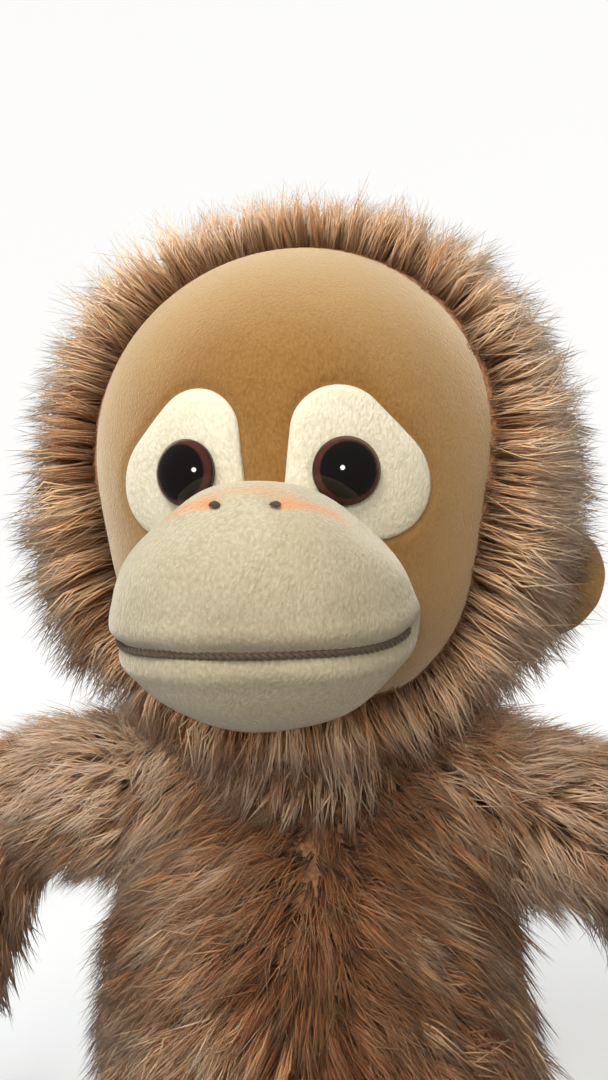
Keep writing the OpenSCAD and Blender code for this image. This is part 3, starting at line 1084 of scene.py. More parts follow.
@dataclass
class Planter:
    """Plants long pile on skins."""

    finish: bpy.types.Material
    tree: bpy.types.NodeTree = field(init=False)
    fine: bpy.types.Collection = field(init=False)
    plain: bpy.types.Collection = field(init=False)
    seed: int = 1

    def __post_init__(self) -> None:
        """Makes the locks and the planting tree."""
        self.tree = planting_tree()
        self.fine = LockCutter().make()
        wide = (Strand(6, 0.80 * MM, 0.34 * MM, 2), Strand(3, 0.28 * MM, 0.22 * MM, 2))
        self.plain = LockCutter(wide, seed=40).make()

    def plant(
        self, skin: bpy.types.Object, name: str, growth: Growth, spacing: float,
        keep: Callable | None = None, fine: bool = True,
    ) -> bpy.types.Object:
        """Plants one stretch of pile.

        Args:
            skin: the piece it stands on.
            name: the pile's name.
            growth: how it grows.
            spacing: distance between locks.
            keep: which points of the skin this stretch is planted on, or None for all.
            fine: True for the locks with more and thinner strands.

        Returns:
            The pile as a plain mesh.
        """
        mesh = skin.data.copy()
        if keep is not None:
            bm = bmesh.new()
            bm.from_mesh(mesh)
            away = [f for f in bm.faces if not keep(f.calc_center_median())]
            bmesh.ops.delete(bm, geom=away, context="FACES")
            bm.to_mesh(mesh)
            bm.free()
        bed = bpy.data.objects.new(name, mesh)
        bpy.context.scene.collection.objects.link(bed)
        co, no = places(mesh), places(mesh, True)
        mark(mesh, "comb", growth.comb(co, no), "FLOAT_VECTOR")
        for key in ("lean", "length", "cover", "dye"):
            mark(mesh, key, getattr(growth, key)(co, no))
        planting = bed.modifiers.new("Planting", "NODES")
        planting.node_group = self.tree
        self.seed += 1
        rate = 1.0
        given = {
            "Locks": self.fine if fine else self.plain, "Spacing": spacing * rate, "Seed": self.seed,
            "Droop": growth.droop, "Sway": growth.sway, "Finish": self.finish,
        }
        for socket in self.tree.interface.items_tree:
            if socket.in_out == "INPUT" and socket.name in given:
                planting[socket.identifier] = given[socket.name]
        applied(bed)
        for extra in ("comb", "lean", "length", "cover", "dye", "tone", "along"):
            if extra in bed.data.attributes:
                bed.data.attributes.remove(bed.data.attributes[extra])
        LOG.info("%s: %d faces", name, len(bed.data.polygons))
        return bed


def towards(way: Callable | tuple) -> Callable:
    """Makes a comb that lies flat on the skin.

    Args:
        way: a direction, or a field that gives one for each point.

    Returns:
        The comb.
    """

    def comb(co: np.ndarray, no: np.ndarray) -> np.ndarray:
        """Returns the direction at each point."""
        aim = way(co, no) if callable(way) else np.broadcast_to(np.array(way, float), co.shape)
        return unit(aim - no * (aim * no).sum(1, keepdims=True))

    return comb


# ---------------------------------------------------------------- the toy


class Slot(Enum):
    """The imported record's material slots."""

    PILE = "long_pile_plush"
    TAN = "tan_short_pile"
    CREAM = "cream_short_pile"
    BROWN_THREAD = "brown_thread"
    DARK_THREAD = "dark_thread"
    DOME = "iris_dome"
    LABEL = "label_tape"


def settle(
    piece: bpy.types.Object, body: str | tuple,
    stands_for: tuple[str, ...] = (),
) -> None:
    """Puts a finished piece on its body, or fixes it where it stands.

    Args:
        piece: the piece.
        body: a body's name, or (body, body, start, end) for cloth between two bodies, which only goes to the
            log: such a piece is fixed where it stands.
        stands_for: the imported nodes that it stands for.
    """
    if isinstance(body, tuple):
        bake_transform(piece)
    else:
        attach(piece, body)
    if stands_for:
        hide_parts(*stands_for)
    LOG.info("%s is on %s", piece.name, body)


def joint_place(name: str) -> Vector:
    """Returns where a joint is."""
    return Vector(next(j["pos_m"] for j in frame["joints"] if j["name"] == name))


def nearest_way(path: list[Vector]) -> Callable:
    """Measures which way a limb runs.

    Args:
        path: its middle line.

    Returns:
        A function from points to the line's direction beside each.
    """
    line = np.array([p[:] for p in path])
    ways = unit(np.gradient(line, axis=0))
    return lambda co: ways[((co[:, None, :] - line[None]) ** 2).sum(2).argmin(1)]


@dataclass
class HeadForm:
    """The skin of the head, under its pile: an egg about Z."""

    low_r: float = 77 * MM
    high_r: float = 82 * MM
    low_z: float = 268 * MM
    rise: float = 20 * MM

    def reach(self, z: np.ndarray, grow: float = 0.0) -> np.ndarray:
        """Measures the egg.

        Args:
            z: heights.
            grow: how far outside the skin.

        Returns:
            Its radius at each height.
        """
        low, high = self.low_r + grow, self.high_r + grow
        t = math.asin((low - high) / self.rise)
        h = np.asarray(z, float) - self.low_z
        below = np.sqrt(np.maximum(low**2 - h**2, 0))
        above = np.sqrt(np.maximum(high**2 - (h - self.rise) ** 2, 0))
        h0, h1 = low * math.sin(t), self.rise + high * math.sin(t)
        between = low * math.cos(t) + (high - low) * math.cos(t) * np.clip((h - h0) / (h1 - h0), 0, 1)
        return np.where(h < h0, below, np.where(h > h1, above, between))

    def lay(self, x: np.ndarray, z: np.ndarray, off: np.ndarray) -> np.ndarray:
        """Lays points on the front of the egg.

        Args:
            x: how far sideways each point is.
            z: how high it is.
            off: how far it stands off the skin.

        Returns:
            The points.
        """
        rest = self.reach(z)
        across = np.clip(x / np.maximum(rest, 1e-6), -0.999, 0.999)
        r = rest + off
        return np.stack([r * across, -r * np.sqrt(1 - across**2), z], axis=1)

    def profile(self, grow: float, steps: int) -> Outline:
        """Draws the egg's outline.

        Args:
            grow: how far outside the skin.
            steps: how many points it has.

        Returns:
            (radius, height) points from the bottom pole to the top one.
        """
        low, high = self.low_z - self.low_r - grow, self.low_z + self.rise + self.high_r + grow
        heights = (low + high) / 2 - np.cos(np.linspace(0, math.pi, steps)) * (high - low) / 2
        radii = self.reach(heights, grow)
        radii[0] = radii[-1] = 0.0
        return list(zip(radii.tolist(), heights.tolist()))


@dataclass
class Head:
    """The head's cover, pile, face, muzzle, eyes and ears."""

    wardrobe: Wardrobe
    planter: Planter
    form: HeadForm = field(default_factory=HeadForm)
    panel_high: tuple[float, float, float] = (0.0, 295 * MM, 69 * MM)
    panel_low: tuple[float, float, float] = (0.0, 256 * MM, 62 * MM)
    chin_z: float = 208 * MM
    eye_turn: float = 16.5
    eye_z: float = 280 * MM
    eye_r: float = 10 * MM
    dome_h: float = 5.5 * MM
    muzzle_centre: tuple[float, float, float] = (0.0, -87 * MM, 243 * MM)
    muzzle_half: tuple[float, float, float] = (44 * MM, 34 * MM, 34 * MM)
    mouth_drop: float = 12 * MM
    ear_centre: tuple[float, float, float] = (90 * MM, 2 * MM, 246 * MM)
    ear_r: float = 22 * MM

    def panel_outline(self) -> Outline:
        """Returns the face panel's outline, with a soft chin."""
        hull = around_circles([self.panel_high, self.panel_low])
        return [(x, self.chin_z + max(z - self.chin_z, 0.22 * (z - self.chin_z))) for x, z in hull]

    def patch_outline(self, side: int) -> Outline:
        """Returns an eye patch's outline: narrow at the top and wide below and outside the eye."""
        mm = [(21.5, 291.5, 14), (29.5, 277.5, 18), (15.5, 272, 10)]
        return around_circles([(side * x * MM, z * MM, r * MM) for x, z, r in mm])

    def inside_panel(self, co: np.ndarray, margin: float, within: float = 0.0) -> np.ndarray:
        """Tells how far inside the face panel's outline the points in front are.

        Args:
            co: the points.
            margin: the distance either way that the change is spread over.
            within: how far inside the outline the change is.

        Returns:
            0 outside to 1 inside for each point.
        """
        centre = (0.0, 276 * MM)
        reach = polar_reach(self.panel_outline(), centre)
        x, z = co[:, 0] - centre[0], co[:, 2] - centre[1]
        gap = reach(np.arctan2(z, x)) - np.hypot(x, z)
        return ease(gap - within, -margin, margin) * (co[:, 1] < 0)

    def build_cover(self) -> None:
        """Makes the head's cover and the pile on it."""
        bm = turned(self.form.profile(-0.4 * MM, 72), 144)
        cover = finish_mesh(bm, "head_cover", self.wardrobe.backing)
        settle(cover, "head", ("head_fur_left", "head_fur_right", "head_stuffing"))
        middle = np.array([0.0, -60 * MM, 286 * MM])

        def away(co: np.ndarray, no: np.ndarray) -> np.ndarray:
            """Combs the pile back from the face, and down lower on the head.

            Args:
                co: the points.
                no: their normals.

            Returns:
                A direction for each point.
            """
            rel = co - middle
            rel[:, 1] += 0.6 * np.hypot(rel[:, 0], rel[:, 2])
            fall = ease(-(co[:, 2] - 0.262), 0.0, 0.07)[:, None]
            back = ease(co[:, 1], 0.0, 0.08)[:, None]
            return unit(rel) + np.array([0, 0, -1.0]) * (0.5 * fall + 0.9 * back)

        def lean(co: np.ndarray, no: np.ndarray) -> np.ndarray:
            """Stands the mane up beside the face and lays it flatter behind.

            Args:
                co: the points.
                no: their normals.

            Returns:
                Radians for each point.
            """
            mane = ease(-co[:, 1], -0.02, 0.045)
            edge = self.inside_panel(co, 13 * MM)
            low = ease(-(co[:, 2] - 0.205), 0.0, 0.03)
            return 0.16 - 0.30 * mane - 0.75 * edge + 0.25 * low

        def length(co: np.ndarray, no: np.ndarray) -> np.ndarray:
            """Trims the pile on the crown.

            Args:
                co: the points.
                no: their normals.

            Returns:
                A share of a lock for each point.
            """
            cheek = bell(co[:, 2] - 0.245, 0.035) * ease(np.abs(co[:, 0]), 0.045, 0.07)
            beside = ease(co[:, 1], -0.014, 0.002) * ease(-co[:, 1], -0.04, -0.02)
            ear = bell(co[:, 2] - self.ear_centre[2], 0.024) * beside
            crown = 0.06 * ease(co[:, 2], 0.32, 0.37)
            return 0.95 - crown + (0.26 * cheek - 0.55 * ear) + 0.06 * ripple(co, 0.05, 3)

        def cover_share(co: np.ndarray, no: np.ndarray) -> np.ndarray:
            """Keeps the pile off the face and the neck opening."""
            low = ease(co[:, 2], 0.190, 0.196)
            return (1 - self.inside_panel(co, 0.5 * MM, 0.8 * MM)) * low

        def dye(co: np.ndarray, no: np.ndarray) -> np.ndarray:
            """Sets how pale the pile is, with shade painted under the chin, where it is darker."""
            return 0.54 - 0.26 * ease(-(co[:, 2] - 0.222), 0.0, 0.025) * (co[:, 1] < 0.02)

        growth = Growth(towards(away), length, cover_share, lean, dye, 3.5 * MM, 11 * MM)
        for name, wanted, fine, spacing in (
            ("left_low", lambda c: c.x >= 0 and c.y < 0.012 and c.z < 0.262, True, 2.4),
            ("left_high", lambda c: c.x >= 0 and c.y < 0.012 and c.z >= 0.262, True, 2.4),
            ("right_low", lambda c: c.x < 0 and c.y < 0.012 and c.z < 0.262, True, 2.4),
            ("right_high", lambda c: c.x < 0 and c.y < 0.012 and c.z >= 0.262, True, 2.4),
            ("back_left", lambda c: c.x >= 0 and c.y >= 0.012, False, 3.7),
            ("back_right", lambda c: c.x < 0 and c.y >= 0.012, False, 3.7),
        ):
            pile = self.planter.plant(cover, f"head_pile_{name}", growth, spacing * MM, wanted, fine)
            settle(pile, "head")

    def panel_height(self, x: np.ndarray, z: np.ndarray, edge: np.ndarray) -> np.ndarray:
        """Puffs the face panel, with a brow, a bridge and cheeks.

        Args:
            x: how far sideways each point is.
            z: how high it is.
            edge: 0 in the panel's middle and 1 at its seam.

        Returns:
            How far the panel stands off the skin.
        """
        puff = 3.0 * MM * np.sqrt(np.clip(1 - edge**7, 0, 1)) - 1.6 * MM
        brow = 1.6 * MM * bell(z - 0.318, 0.020) * bell(x, 0.045)
        bridge = -1.2 * MM * bell(x, 0.007) * bell(z - 0.288, 0.022)
        cheek = 1.8 * MM * bell(np.abs(x) - 0.052, 0.018) * bell(z - 0.248, 0.026)
        return puff + brow + bridge + cheek

    def build_face(self) -> None:
        """Makes the face panel and the eye patches that are sewn on it."""
        centre = (0.0, 276 * MM)
        reach = polar_reach(self.panel_outline(), centre)
        patches = {side: (self.patch_outline(side), (side * 25 * MM, 281 * MM)) for side in (1, -1)}
        piece = finish_mesh(disc_grid(120), "face_panel_cloth", self.wardrobe.tan)
        face_edges = {}

        def shape(co: np.ndarray, no: np.ndarray) -> np.ndarray:
            """Lays the disc on the head.

            Args:
                co: the points.
                no: their normals.

            Returns:
                The new points.
            """
            angle, edge = np.arctan2(co[:, 2], co[:, 0]), np.minimum(np.hypot(co[:, 0], co[:, 2]), 1.0)
            far = reach(angle) * edge
            x, z = centre[0] + far * np.cos(angle), centre[1] + far * np.sin(angle)
            off = self.panel_height(x, z, edge)
            for outline, middle in patches.values():
                near = polar_reach(outline, middle)
                px, pz = x - middle[0], z - middle[1]
                gap = np.hypot(px, pz) - near(np.arctan2(pz, px))
                off -= 0.9 * MM * bell(gap, 1.6 * MM)
            face_edges["edge"] = edge
            return self.form.lay(x, z, off)

        sculpt(piece, shape)
        # Marks the panel's outer part for painted sheen: the cloth turns paler towards its seam.
        mark(piece.data, "rim", ease(face_edges["edge"], 0.45, 1.0))
        solidified(piece, 2.0 * MM)
        settle(piece, "head", ("face_panel",))
        for name, side in SIDES.items():
            outline, middle = patches[side]
            near = polar_reach(outline, middle)
            patch = finish_mesh(disc_grid(64), f"eye_patch_cloth_{name}", self.wardrobe.cream)

            def lay(co: np.ndarray, no: np.ndarray) -> np.ndarray:
                """Lays a patch on the face, puffed, with a dent under the eye.

                Args:
                    co: the points.
                    no: their normals.

                Returns:
                    The new points.
                """
                angle, edge = np.arctan2(co[:, 2], co[:, 0]), np.minimum(np.hypot(co[:, 0], co[:, 2]), 1.0)
                far = near(angle) * edge
                x, z = middle[0] + far * np.cos(angle), middle[1] + far * np.sin(angle)
                fx, fz = x - centre[0], z - centre[1]
                face_edge = np.hypot(fx, fz) / reach(np.arctan2(fz, fx))
                off = self.panel_height(x, z, face_edge) - 0.7 * MM
                off += 2.0 * MM * np.sqrt(np.clip(1 - edge**6, 0, 1))
                ex = side * math.sin(math.radians(self.eye_turn)) * 0.0845
                off -= 1.6 * MM * bell(np.hypot(x - ex, z - self.eye_z), 9 * MM)
                return self.form.lay(x, z, off)

            sculpt(patch, lay)
            solidified(patch, 1.2 * MM)
            settle(patch, "head", (f"eye_patch_{name}",))

    def muzzle_point(self, unit_points: np.ndarray) -> np.ndarray:
        """Shapes the muzzle: wide and full below, narrower above.

        Args:
            unit_points: directions from its middle.

        Returns:
            The surface in each direction.
        """
        cx, cy, cz = self.muzzle_centre
        hx, hy, hz = self.muzzle_half
        p = unit_points * np.array([hx, hy, hz])
        up = np.clip(unit_points[:, 2], -1, 1)
        p[:, 0] *= 1 + 0.035 * np.sin(-up * 2.2) - 0.13 * ease(up, 0.25, 1.0)
        p[:, 2] *= 1 + 0.09 * ease(-up, 0.0, 0.8)
        p[:, 2] -= 1.0 * MM * ease(np.abs(unit_points[:, 0]), 0.4, 1.0)
        p[:, 1] += 2.0 * MM * ease(np.abs(unit_points[:, 0]), 0.5, 1.0)
        return p + np.array([cx, cy, cz])

    def mouth_line(self, t: np.ndarray, out: float) -> np.ndarray:
        """Draws the mouth.

        Args:
            t: places along it, from the toy's right at -1 to its left at 1.
            out: how far it stands out from the muzzle.

        Returns:
            A point for each place.
        """
        turn = np.radians(84.0) * t
        rise = (4.2 * t**4 + 1.3 * t) * MM
        drop = (-self.mouth_drop + rise) / self.muzzle_half[2]
        flat = np.sqrt(1 - drop**2)
        ways = np.stack([np.sin(turn) * flat, -np.cos(turn) * flat, drop], axis=1)
        surface = self.muzzle_point(ways)
        return surface + unit(ways) * out

    def build_muzzle(self) -> None:
        """Makes the muzzle with its mouth crease and blush, and the stitches."""
        bm = bmesh.new()
        bmesh.ops.create_uvsphere(bm, u_segments=160, v_segments=110, radius=1.0)
        # The muzzle wears the cream cloth darkened as painted shade.
        piece = finish_mesh(bm, "muzzle_cloth", self.wardrobe.muzzle)
        line = self.mouth_line(np.linspace(-1, 1, 161), 0.0)

        def shape(co: np.ndarray, no: np.ndarray) -> np.ndarray:
            """Shapes the muzzle and pulls the mouth in.

            Args:
                co: the points.
                no: their normals.

            Returns:
                The new points.
            """
            ways = unit(co)
            p = self.muzzle_point(ways)
            gap = np.sqrt(((p[:, None, :] - line[None, ::2, :]) ** 2).sum(2).min(1))
            p -= ways * (2.3 * MM * bell(gap, 2.6 * MM) - 0.7 * MM * bell(gap - 6 * MM, 3 * MM))[:, None]
            p += ways * (0.45 * MM * ripple(p, 0.03, 5))[:, None]
            for side in (1, -1):
                hole = np.array([side * 8.2 * MM, -107 * MM, 269.5 * MM])
                p -= ways * (0.9 * MM * bell(np.linalg.norm(p - hole, axis=1), 2.4 * MM))[:, None]
            return p

        sculpt(piece, shape)
        co = places(piece.data)
        blush = np.zeros(len(co))
        for side in (1, -1):
            a = np.array([side * 10.0, -106.0, 269.5]) * MM
            b = np.array([side * 25.0, -99.0, 266.0]) * MM
            t = np.clip(((co - a) @ (b - a)) / ((b - a) @ (b - a)), 0, 1)
            gap = np.linalg.norm(co - (a + t[:, None] * (b - a)), axis=1)
            blush += 1.1 * bell(gap, 2.3 * MM) * (1 - 0.3 * t)
        arch = np.abs(np.hypot(co[:, 0] / 1.6, co[:, 2] - 0.262) - 0.0115)
        in_front = (co[:, 1] < -0.07) * (np.abs(co[:, 0]) < self.muzzle_half[0] / 2.4)
        blush += 0.45 * bell(arch, 1.6 * MM) * ease(co[:, 2], 0.268, 0.274) * in_front
        mark(piece.data, "blush", np.clip(blush + 0.04 * ripple(co, 0.02, 9) * (blush > 0.05), 0, 1))
        settle(piece, "head", ("muzzle_cover", "muzzle_stuffing"))
        self.build_mouth()
        self.build_nostrils()

    def build_mouth(self) -> None:
        """Lays a two-ply twisted thread along the mouth."""
        steps, ply, wind = 260, 0.64 * MM, 0.52 * MM
        t = np.linspace(-0.985, 0.985, steps)
        middle = self.mouth_line(t, -1.3 * MM)
        along = unit(np.gradient(middle, axis=0))
        out = unit(middle - np.array(self.muzzle_centre))
        out = unit(out - along * (out * along).sum(1, keepdims=True))
        side = np.cross(along, out)
        bm = bmesh.new()
        for phase in (0.0, math.pi):
            turn = phase + np.linspace(0, 2 * math.pi * 30, steps)
            path = middle + wind * (np.cos(turn)[:, None] * out + np.sin(turn)[:, None] * side)
            width = ply * np.clip(np.minimum(t + 1.0, 1.0 - t) * 30, 0.2, 1.0)
            take_in(bm, tube([Vector(p) for p in path], width.tolist(), 8))
        piece = finish_mesh(bm, "mouth_thread", self.wardrobe.brown_thread)
        settle(piece, "head", ("mouth_stitching",))

    def build_nostrils(self) -> None:
        """Makes each nostril of a few short satin stitches."""
        bm = bmesh.new()
        for side in (1, -1):
            hole = Vector((side * 8.2 * MM, -107.2 * MM, 269.4 * MM))
            out = (hole - Vector(self.muzzle_centre)).normalized()
            across = Matrix.Rotation(math.radians(-28), 3, out) @ Vector((1, 0, 0))
            down = out.cross(across).normalized()
            for row in range(-2, 3):
                start = hole + down * (row * 0.42 * MM) - across * (1.7 - 0.20 * abs(row)) * MM
                ends = [start + across * (3.4 - 0.40 * abs(row)) * MM * i / 6 for i in range(7)]
                rise = [(0.45 * math.sin(math.pi * i / 6) - 0.25) * MM for i in range(7)]
                path = [p + out * high for p, high in zip(ends, rise)]
                take_in(bm, tube(path, [0.16 * MM] + [0.27 * MM] * 5 + [0.16 * MM], 6))
        piece = finish_mesh(bm, "nostril_thread", self.wardrobe.dark_thread)
        settle(piece, "head", ("nostril_stitches",))

    def build_eyes(self) -> None:
        """Makes the domes of the safety eyes, and gives their hardware its plastic."""
        ball = (self.eye_r**2 + self.dome_h**2) / (2 * self.dome_h)
        top = math.asin(self.eye_r / ball)
        arc = [(ball * math.sin(a), ball * math.cos(a) - ball + self.dome_h) for a in np.linspace(top, 0, 30)]
        low = -1.2 * MM
        rim = [(0.0, low), (self.eye_r * 0.96, low), (self.eye_r, -0.9 * MM), (self.eye_r * 1.005, -0.4 * MM)]
        for name, side in SIDES.items():
            bm = turned(rim + arc, 96)
            ring = bm.verts.layers.float.new("ring")
            for v in bm.verts:
                v[ring] = min(1.0, v.co.xy.length / self.eye_r) if v.co.z > -0.3 * MM else 1.0
            turn = Matrix.Rotation(side * math.radians(self.eye_turn), 4, "Z")
            y = -self.form.reach(np.array([self.eye_z]), 2.8 * MM)[0] - 1.2 * MM
            place = turn @ Matrix.Translation((0, y, self.eye_z)) @ Matrix.Rotation(math.radians(90), 4, "X")
            bmesh.ops.transform(bm, matrix=place, verts=bm.verts)
            dome = finish_mesh(bm, f"eye_{name}", self.wardrobe.dome)
            settle(dome, "head", (f"eye_dome_{name}", f"eye_pupil_{name}"))
            for node, material in (("post", self.wardrobe.black_plastic), ("washer", self.wardrobe.washer)):
                packed = frame["nodes"][f"eye_{node}_{name}"].data
                packed.materials.clear()
                packed.materials.append(material)

    def build_ears(self) -> None:
        """Makes the ears: a puffed rim, a dished front and a seam round the edge."""
        cx, cy, cz = self.ear_centre
        for name, side in SIDES.items():
            bm = bmesh.new()
            bmesh.ops.create_uvsphere(bm, u_segments=96, v_segments=48, radius=1.0)
            upright = Matrix.Rotation(math.radians(90), 3, "X")
            bmesh.ops.rotate(bm, verts=bm.verts, cent=(0, 0, 0), matrix=upright)
            ear = finish_mesh(bm, f"ear_{name}", self.wardrobe.tan)

            def shape(co: np.ndarray, no: np.ndarray) -> np.ndarray:
                """Flattens the ball to an ear.

                Args:
                    co: the points.
                    no: their normals.

                Returns:
                    The new points.
                """
                far = np.hypot(co[:, 0], co[:, 2])
                r = self.ear_r * (1.0 + 0.02 * np.sin(3 * np.arctan2(co[:, 2], co[:, 0])))
                thick = 5.6 * MM * np.sign(co[:, 1]) * np.abs(co[:, 1]) ** 0.72
                thick += np.where(co[:, 1] < 0, 4.2 * MM * bell(far, 0.52), -0.6 * MM * bell(far, 0.6))
                seam = 1 - 0.03 * bell(co[:, 1], 0.10)
                p = np.stack([r * co[:, 0] * seam, thick, r * co[:, 2] * seam], axis=1)
                p += 0.25 * MM * ripple(p, 0.015, 21)[:, None] * unit(co)
                turn = math.radians(-14 * side)
                x = p[:, 0] * math.cos(turn) - p[:, 1] * math.sin(turn)
                y = p[:, 0] * math.sin(turn) + p[:, 1] * math.cos(turn)
                return np.stack([side * cx + x, cy + y, cz + p[:, 2]], axis=1)

            sculpt(ear, shape)
            # Makes the whole ear paler, mixing in much of the tan's paler colour.
            mark(ear.data, "rim", np.full(len(ear.data.vertices), 0.7))
            settle(ear, "head", (f"ear_front_{name}", f"ear_back_{name}"))

    def build(self) -> None:
        """Makes every part of the head."""
        self.build_cover()
        self.build_face()
        self.build_muzzle()
        self.build_eyes()
        self.build_ears()


@dataclass
class Torso:
    """The torso's cover and pile, the neck and the blank label."""

    wardrobe: Wardrobe
    planter: Planter
    belly_r: float = 80 * MM
    chest_r: float = 74 * MM
    belly_z: float = 62 * MM
    rise: float = 44 * MM
    under_pile: float = 12 * MM
    neck_z: float = 186 * MM
    neck_r: float = 40 * MM
    parting_x: float = 10 * MM
    shoulder_r: float = 26 * MM

    def build_cover(self) -> bpy.types.Object:
        """Makes the torso's cover: an egg with shoulders and a collar, on a flat seat.

        Returns:
            The cover.
        """
        low, high = self.belly_r - self.under_pile, self.chest_r - self.under_pile
        middle = self.belly_z + self.rise
        shoulders = [Vector((-1, 0.02, 3.22)) * 0.05, Vector((1, 0.02, 3.22)) * 0.05]
        collar = [Vector((0, 2 * MM, 0.14)), Vector((0, 2 * MM, 0.168))]
        parts = [
            tube(*limb_line([Vector((0, 0, self.belly_z)), Vector((0, 0, middle))], [low, high], 0), 96),
            tube(*limb_line(shoulders, [self.shoulder_r] * 2, 0), 64),
            tube(*limb_line(collar, [46 * MM, 33 * MM], 0), 64),
        ]
        cover = joined_soft(parts, "torso_cover", self.wardrobe.backing, 2.6 * MM, 22)

        def seat(co: np.ndarray, no: np.ndarray) -> np.ndarray:
            """Flattens the seat.

            Args:
                co: the points.
                no: their normals.

            Returns:
                The new points.
            """
            p = co.copy()
            p[:, 2] = np.maximum(p[:, 2], 0.6 * MM)
            return p

        sculpt(cover, seat)
        nodes = ("torso_fur_front", "torso_fur_back", "torso_stuffing", "seat_panel")
        settle(cover, "torso", nodes)
        return cover

    def build_pile(self, cover: bpy.types.Object) -> None:
        """Plants the torso's pile, parted down the chest.

        Args:
            cover: the torso's cover.
        """

        def part(co: np.ndarray, no: np.ndarray) -> np.ndarray:
            """Combs the chest outwards and down from its parting, and the back down.

            Args:
                co: the points.
                no: their normals.

            Returns:
                A direction for each point.
            """
            x = co[:, 0] - self.parting_x
            front = ease(-co[:, 1], -0.01, 0.03)
            side = np.sign(x) * ease(np.abs(x), 0.0, 0.012) * (1.05 - 0.55 * ease(np.abs(x), 0.02, 0.08))
            return np.stack([side * front, np.zeros(len(co)), np.full(len(co), -0.75)], axis=1)

        def lean(co: np.ndarray, no: np.ndarray) -> np.ndarray:
            """Lays the pile closer at the parting and under the body."""
            parting = bell(co[:, 0] - self.parting_x, 0.012) * (co[:, 1] < 0)
            return 0.10 + 0.25 * parting + 0.3 * ease(-co[:, 2], -0.03, 0.0)

        def length(co: np.ndarray, no: np.ndarray) -> np.ndarray:
            """Trims the pile towards the seat and at the collar.

            Args:
                co: the points.
                no: their normals.

            Returns:
                A share of a lock for each point.
            """
            trim = 0.45 * ease(-co[:, 2], -0.035, 0.0) + 0.10 * ease(co[:, 2], 0.145, 0.17)
            full = 0.24 * ease(co[:, 0], 0.02, 0.065) - 0.10 * ease(-co[:, 0], 0.03, 0.065)
            return 0.94 - trim + full * ease(-co[:, 1], -0.05, 0.0) + 0.07 * ripple(co, 0.045, 13)

        def dye(co: np.ndarray, no: np.ndarray) -> np.ndarray:
            """Paints shade into the pile. The whole torso is set darker than the head, as shade from the head,
            and darker still along the parting's crease, at the collar under the chin, and on its left side,
            away from the lamps.

            Args:
                co: the points.
                no: their normals.

            Returns:
                A shade for each point.
            """
            # Painted shade: darker along the parting's crease, at the collar under the head, and on the left
            # side.
            parting = bell(co[:, 0] - self.parting_x, 0.024) * (co[:, 1] < 0)
            collar = ease(co[:, 2], 0.135, 0.160) * bell(co[:, 0], 0.05)
            return 0.34 - 0.40 * parting - 0.05 * ease(co[:, 0], 0.0, 0.04) - 0.12 * collar

        def share(co: np.ndarray, no: np.ndarray) -> np.ndarray:
            """Thins the pile at the parting, and leaves the seat bare."""
            parting = bell(co[:, 0] - self.parting_x, 0.005) * (co[:, 1] < 0)
            return (1 - 0.8 * parting) * ease(co[:, 2], 0.001, 0.004)

        growth = Growth(towards(part), length, share, lean, dye, 4 * MM, 8 * MM)
        for name, wanted, fine, spacing in (
            ("chest_left", lambda c: c.y < 0 and c.x >= 0 and c.z >= 0.09, True, 2.9),
            ("chest_right", lambda c: c.y < 0 and c.x < 0 and c.z >= 0.09, True, 2.9),
            ("belly_left", lambda c: c.y < 0 and c.x >= 0 and c.z < 0.09, True, 3.5),
            ("belly_right", lambda c: c.y < 0 and c.x < 0 and c.z < 0.09, True, 3.5),
            ("back_left", lambda c: c.y >= 0 and c.x >= 0, False, 4.1),
            ("back_right", lambda c: c.y >= 0 and c.x < 0, False, 4.1),
        ):
            pile = self.planter.plant(cover, f"torso_pile_{name}", growth, spacing * MM, wanted, fine)
            settle(pile, "torso")

    def build_neck(self) -> None:
        """Makes the neck's cover and its pile."""
        r = self.neck_r - 6 * MM
        turns = np.linspace(-math.pi / 2, math.pi / 2, 32)
        profile = [(r * math.cos(a), self.neck_z + r * math.sin(a)) for a in turns]
        profile[0], profile[-1] = (0.0, profile[0][1]), (0.0, profile[-1][1])
        cover = finish_mesh(turned(profile, 72), "neck_cover", self.wardrobe.backing)
        settle(cover, "neck", ("neck_fur", "neck_stuffing"))

        def band(co: np.ndarray, no: np.ndarray) -> np.ndarray:
            """Keeps the pile to the stretch that may show."""
            return ease(co[:, 2], 0.170, 0.175) * ease(-co[:, 2], -0.202, -0.198)

        growth = Growth(towards((0, 0, -1)), steady(0.7), band)
        pile = self.planter.plant(cover, "neck_pile", growth, 4.2 * MM, fine=False)
        settle(pile, "neck")

    def build_label(self) -> None:
        """Makes the blank label: one strip of tape, folded over."""
        low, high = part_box("care_label")
        wide, gap, tape = high.z - low.z, 0.35 * MM, 0.22 * MM
        out = Vector((-math.cos(math.radians(20)), math.sin(math.radians(20)), 0))
        across = Vector((0, 0, 1)).cross(out)
        root = out * 66 * MM + Vector((0, 0, low.z))
        long = 25.5 * MM
        bend = [(long + gap * math.sin(a), gap * math.cos(a)) for a in np.linspace(0, math.pi, 9)]
        straight = [long * i / 10 for i in range(10)]
        path = [(u, gap) for u in straight] + bend + [(u, -gap) for u in reversed(straight)]
        bm = bmesh.new()
        waves = [root + out * u + across * (v + 0.8 * MM * math.sin(u / 9e-3)) for u, v in path]
        _, edges = ribbon(bm, waves)
        made = bmesh.ops.extrude_edge_only(bm, edges=edges)["geom"]
        fresh = [g for g in made if isinstance(g, bmesh.types.BMVert)]
        bmesh.ops.translate(bm, verts=fresh, vec=(0, 0, wide))
        label = finish_mesh(bm, "blank_label", self.wardrobe.label)
        solidified(label, tape, 0.0)
        settle(label, "torso", ("care_label",))

    def build(self) -> None:
        """Makes every part of the torso."""
        self.build_pile(self.build_cover())
        self.build_neck()
        self.build_label()


